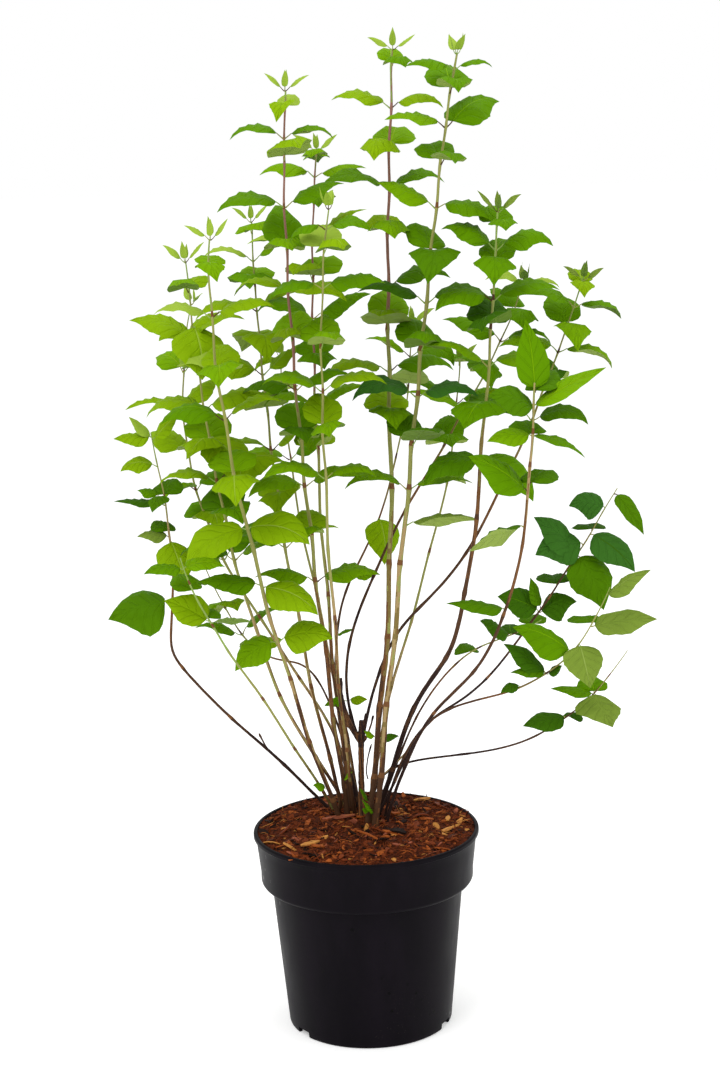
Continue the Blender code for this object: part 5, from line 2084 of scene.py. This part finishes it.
    def build(self) -> None:
        """Grow every shoot and make the pieces."""
        grown = {shoot.place: (shoot, Spine(shoot)) for shoot in self.shoots}
        for shoot, spine in grown.values():
            nodes = self.node_shares(shoot, spine)
            self.grow_stem(shoot, spine, nodes)
            if not shoot.sparse:
                self.grow_pairs(shoot, spine, nodes)
                self.grow_tip(shoot, spine)
        for leaf in LONE_LEAVES:
            self.hang(*grown[leaf.place], leaf.share, math.radians(leaf.bearing), leaf.length, leaf.broad,
                      math.radians(leaf.pitch), math.radians(leaf.droop), leaf.tint.slot,
                      face=math.radians(leaf.face), stalk=leaf.stalk)
        for twig in TWIGS:
            self.grow_twig(twig)
        settle(self.stems.build("stems", Bark.finishes()), "stem_bark", *(f"stem_{place}" for place in grown))
        settle(self.build_stalks(), "stem_bark")
        for name, slot in (("leaves_bright", "leaf_bright"), ("leaves_deep", "leaf_deep")):
            nodes = [f"foliage_{place}" for place in grown if self.piece_of(place) == name]
            settle(self.build_leaves(name), slot, *nodes)


# ---------------- studio


@dataclass
class Studio:
    """The floor, the soft lights and the camera."""

    focal: float = 68.54
    sensor: float = 36.0
    camera_place: tuple[float, float, float] = (0.0, -2.0032, 0.9014)
    dip: float = 0.1965  # how far the camera looks down, in radians
    lean: float = -0.0260  # how far it is rolled
    pan: float = 0.0007
    sky: float = 0.80
    floor_glow: float = 0.30
    floor_rough: float = 0.9
    floor_size: float = 60.0
    floor_drop: float = 0.0004  # how far it lies below the pot
    aim: tuple[float, float, float] = (0.0, 0.0, 0.5)  # what the lights face
    lights: tuple = (("key", (-1.3, -1.6, 2.4), 1.6, 27.0), ("fill", (1.7, -1.2, 1.5), 1.6, 8.0),
                     ("top", (0.2, 0.5, 2.6), 1.8, 18.0))  # name, place, size and power of each

    def add_camera(self) -> None:
        """Place the camera."""
        data = bpy.data.cameras.new("camera")
        data.sensor_fit = "VERTICAL"
        data.sensor_height = self.sensor
        data.lens = self.focal
        camera = link("camera", data)
        ahead = Vector((math.sin(self.pan) * math.cos(self.dip), math.cos(self.pan) * math.cos(self.dip),
                        -math.sin(self.dip)))
        right = Vector((math.cos(self.pan), -math.sin(self.pan), 0.0))
        above = right.cross(ahead)
        across = right * math.cos(self.lean) + above * math.sin(self.lean)
        upward = above * math.cos(self.lean) - right * math.sin(self.lean)
        turned = Matrix((across, upward, -ahead)).transposed().to_4x4()
        camera.matrix_world = Matrix.Translation(self.camera_place) @ turned
        bpy.context.scene.camera = camera

    def add_light(self, name: str, place: tuple[float, float, float], size: float, power: float) -> None:
        """Add a soft square light that faces the crown.

        Args:
            name: the light's name.
            place: where it stands.
            size: its side.
            power: its strength in watts.
        """
        data = bpy.data.lights.new(name, "AREA")
        data.size = size
        data.energy = power
        light = link(name, data)
        light.location = place
        light.rotation_euler = (Vector(self.aim) - Vector(place)).to_track_quat("-Z", "Y").to_euler()

    def add_floor(self) -> None:
        """Lay a wide pale floor."""
        clear_selection()
        bpy.ops.mesh.primitive_plane_add(size=self.floor_size, location=(0.0, 0.0, -self.floor_drop))
        floor = new_part("floor")
        material = bpy.data.materials.new("floor_pale")
        material.use_nodes = True
        Graph(material.node_tree).feed(material.node_tree.nodes["Principled BSDF"], {
            "Base Color": (*FLOOR_COLOUR, 1.0), "Roughness": self.floor_rough, "Specular IOR Level": 0.0,
            "Emission Color": WHITE, "Emission Strength": self.floor_glow})
        floor.data.materials.append(material)

    def light_world(self) -> None:
        """Give a white backdrop, and a softer even light from all round."""
        world = bpy.data.worlds.new("studio")
        world.use_nodes = True
        bpy.context.scene.world = world
        graph = Graph(world.node_tree)
        even = world.node_tree.nodes["Background"]
        graph.feed(even, {"Color": WHITE, "Strength": self.sky})
        seen = graph.node("Background", {"Color": WHITE})
        mix = graph.node("MixShader", {0: graph.node("LightPath").outputs["Is Camera Ray"], 1: even.outputs[0],
                                       2: seen.outputs[0]})
        graph.feed(world.node_tree.nodes["World Output"], {"Surface": mix.outputs[0]})

    def build(self) -> None:
        """Set up the studio."""
        self.add_camera()
        self.add_floor()
        self.light_world()
        for light in self.lights:
            self.add_light(*light)
        bpy.context.scene.view_settings.view_transform = "Standard"


def main() -> None:
    """Build every sub-assembly in order."""
    logging.basicConfig(level=logging.INFO, format="%(message)s")
    Studio().build()
    pot = Pot()
    pot.build()
    Fill(pot).build()
    OldWood().build()
    Crown().build()


if __name__ == "__main__":
    main()
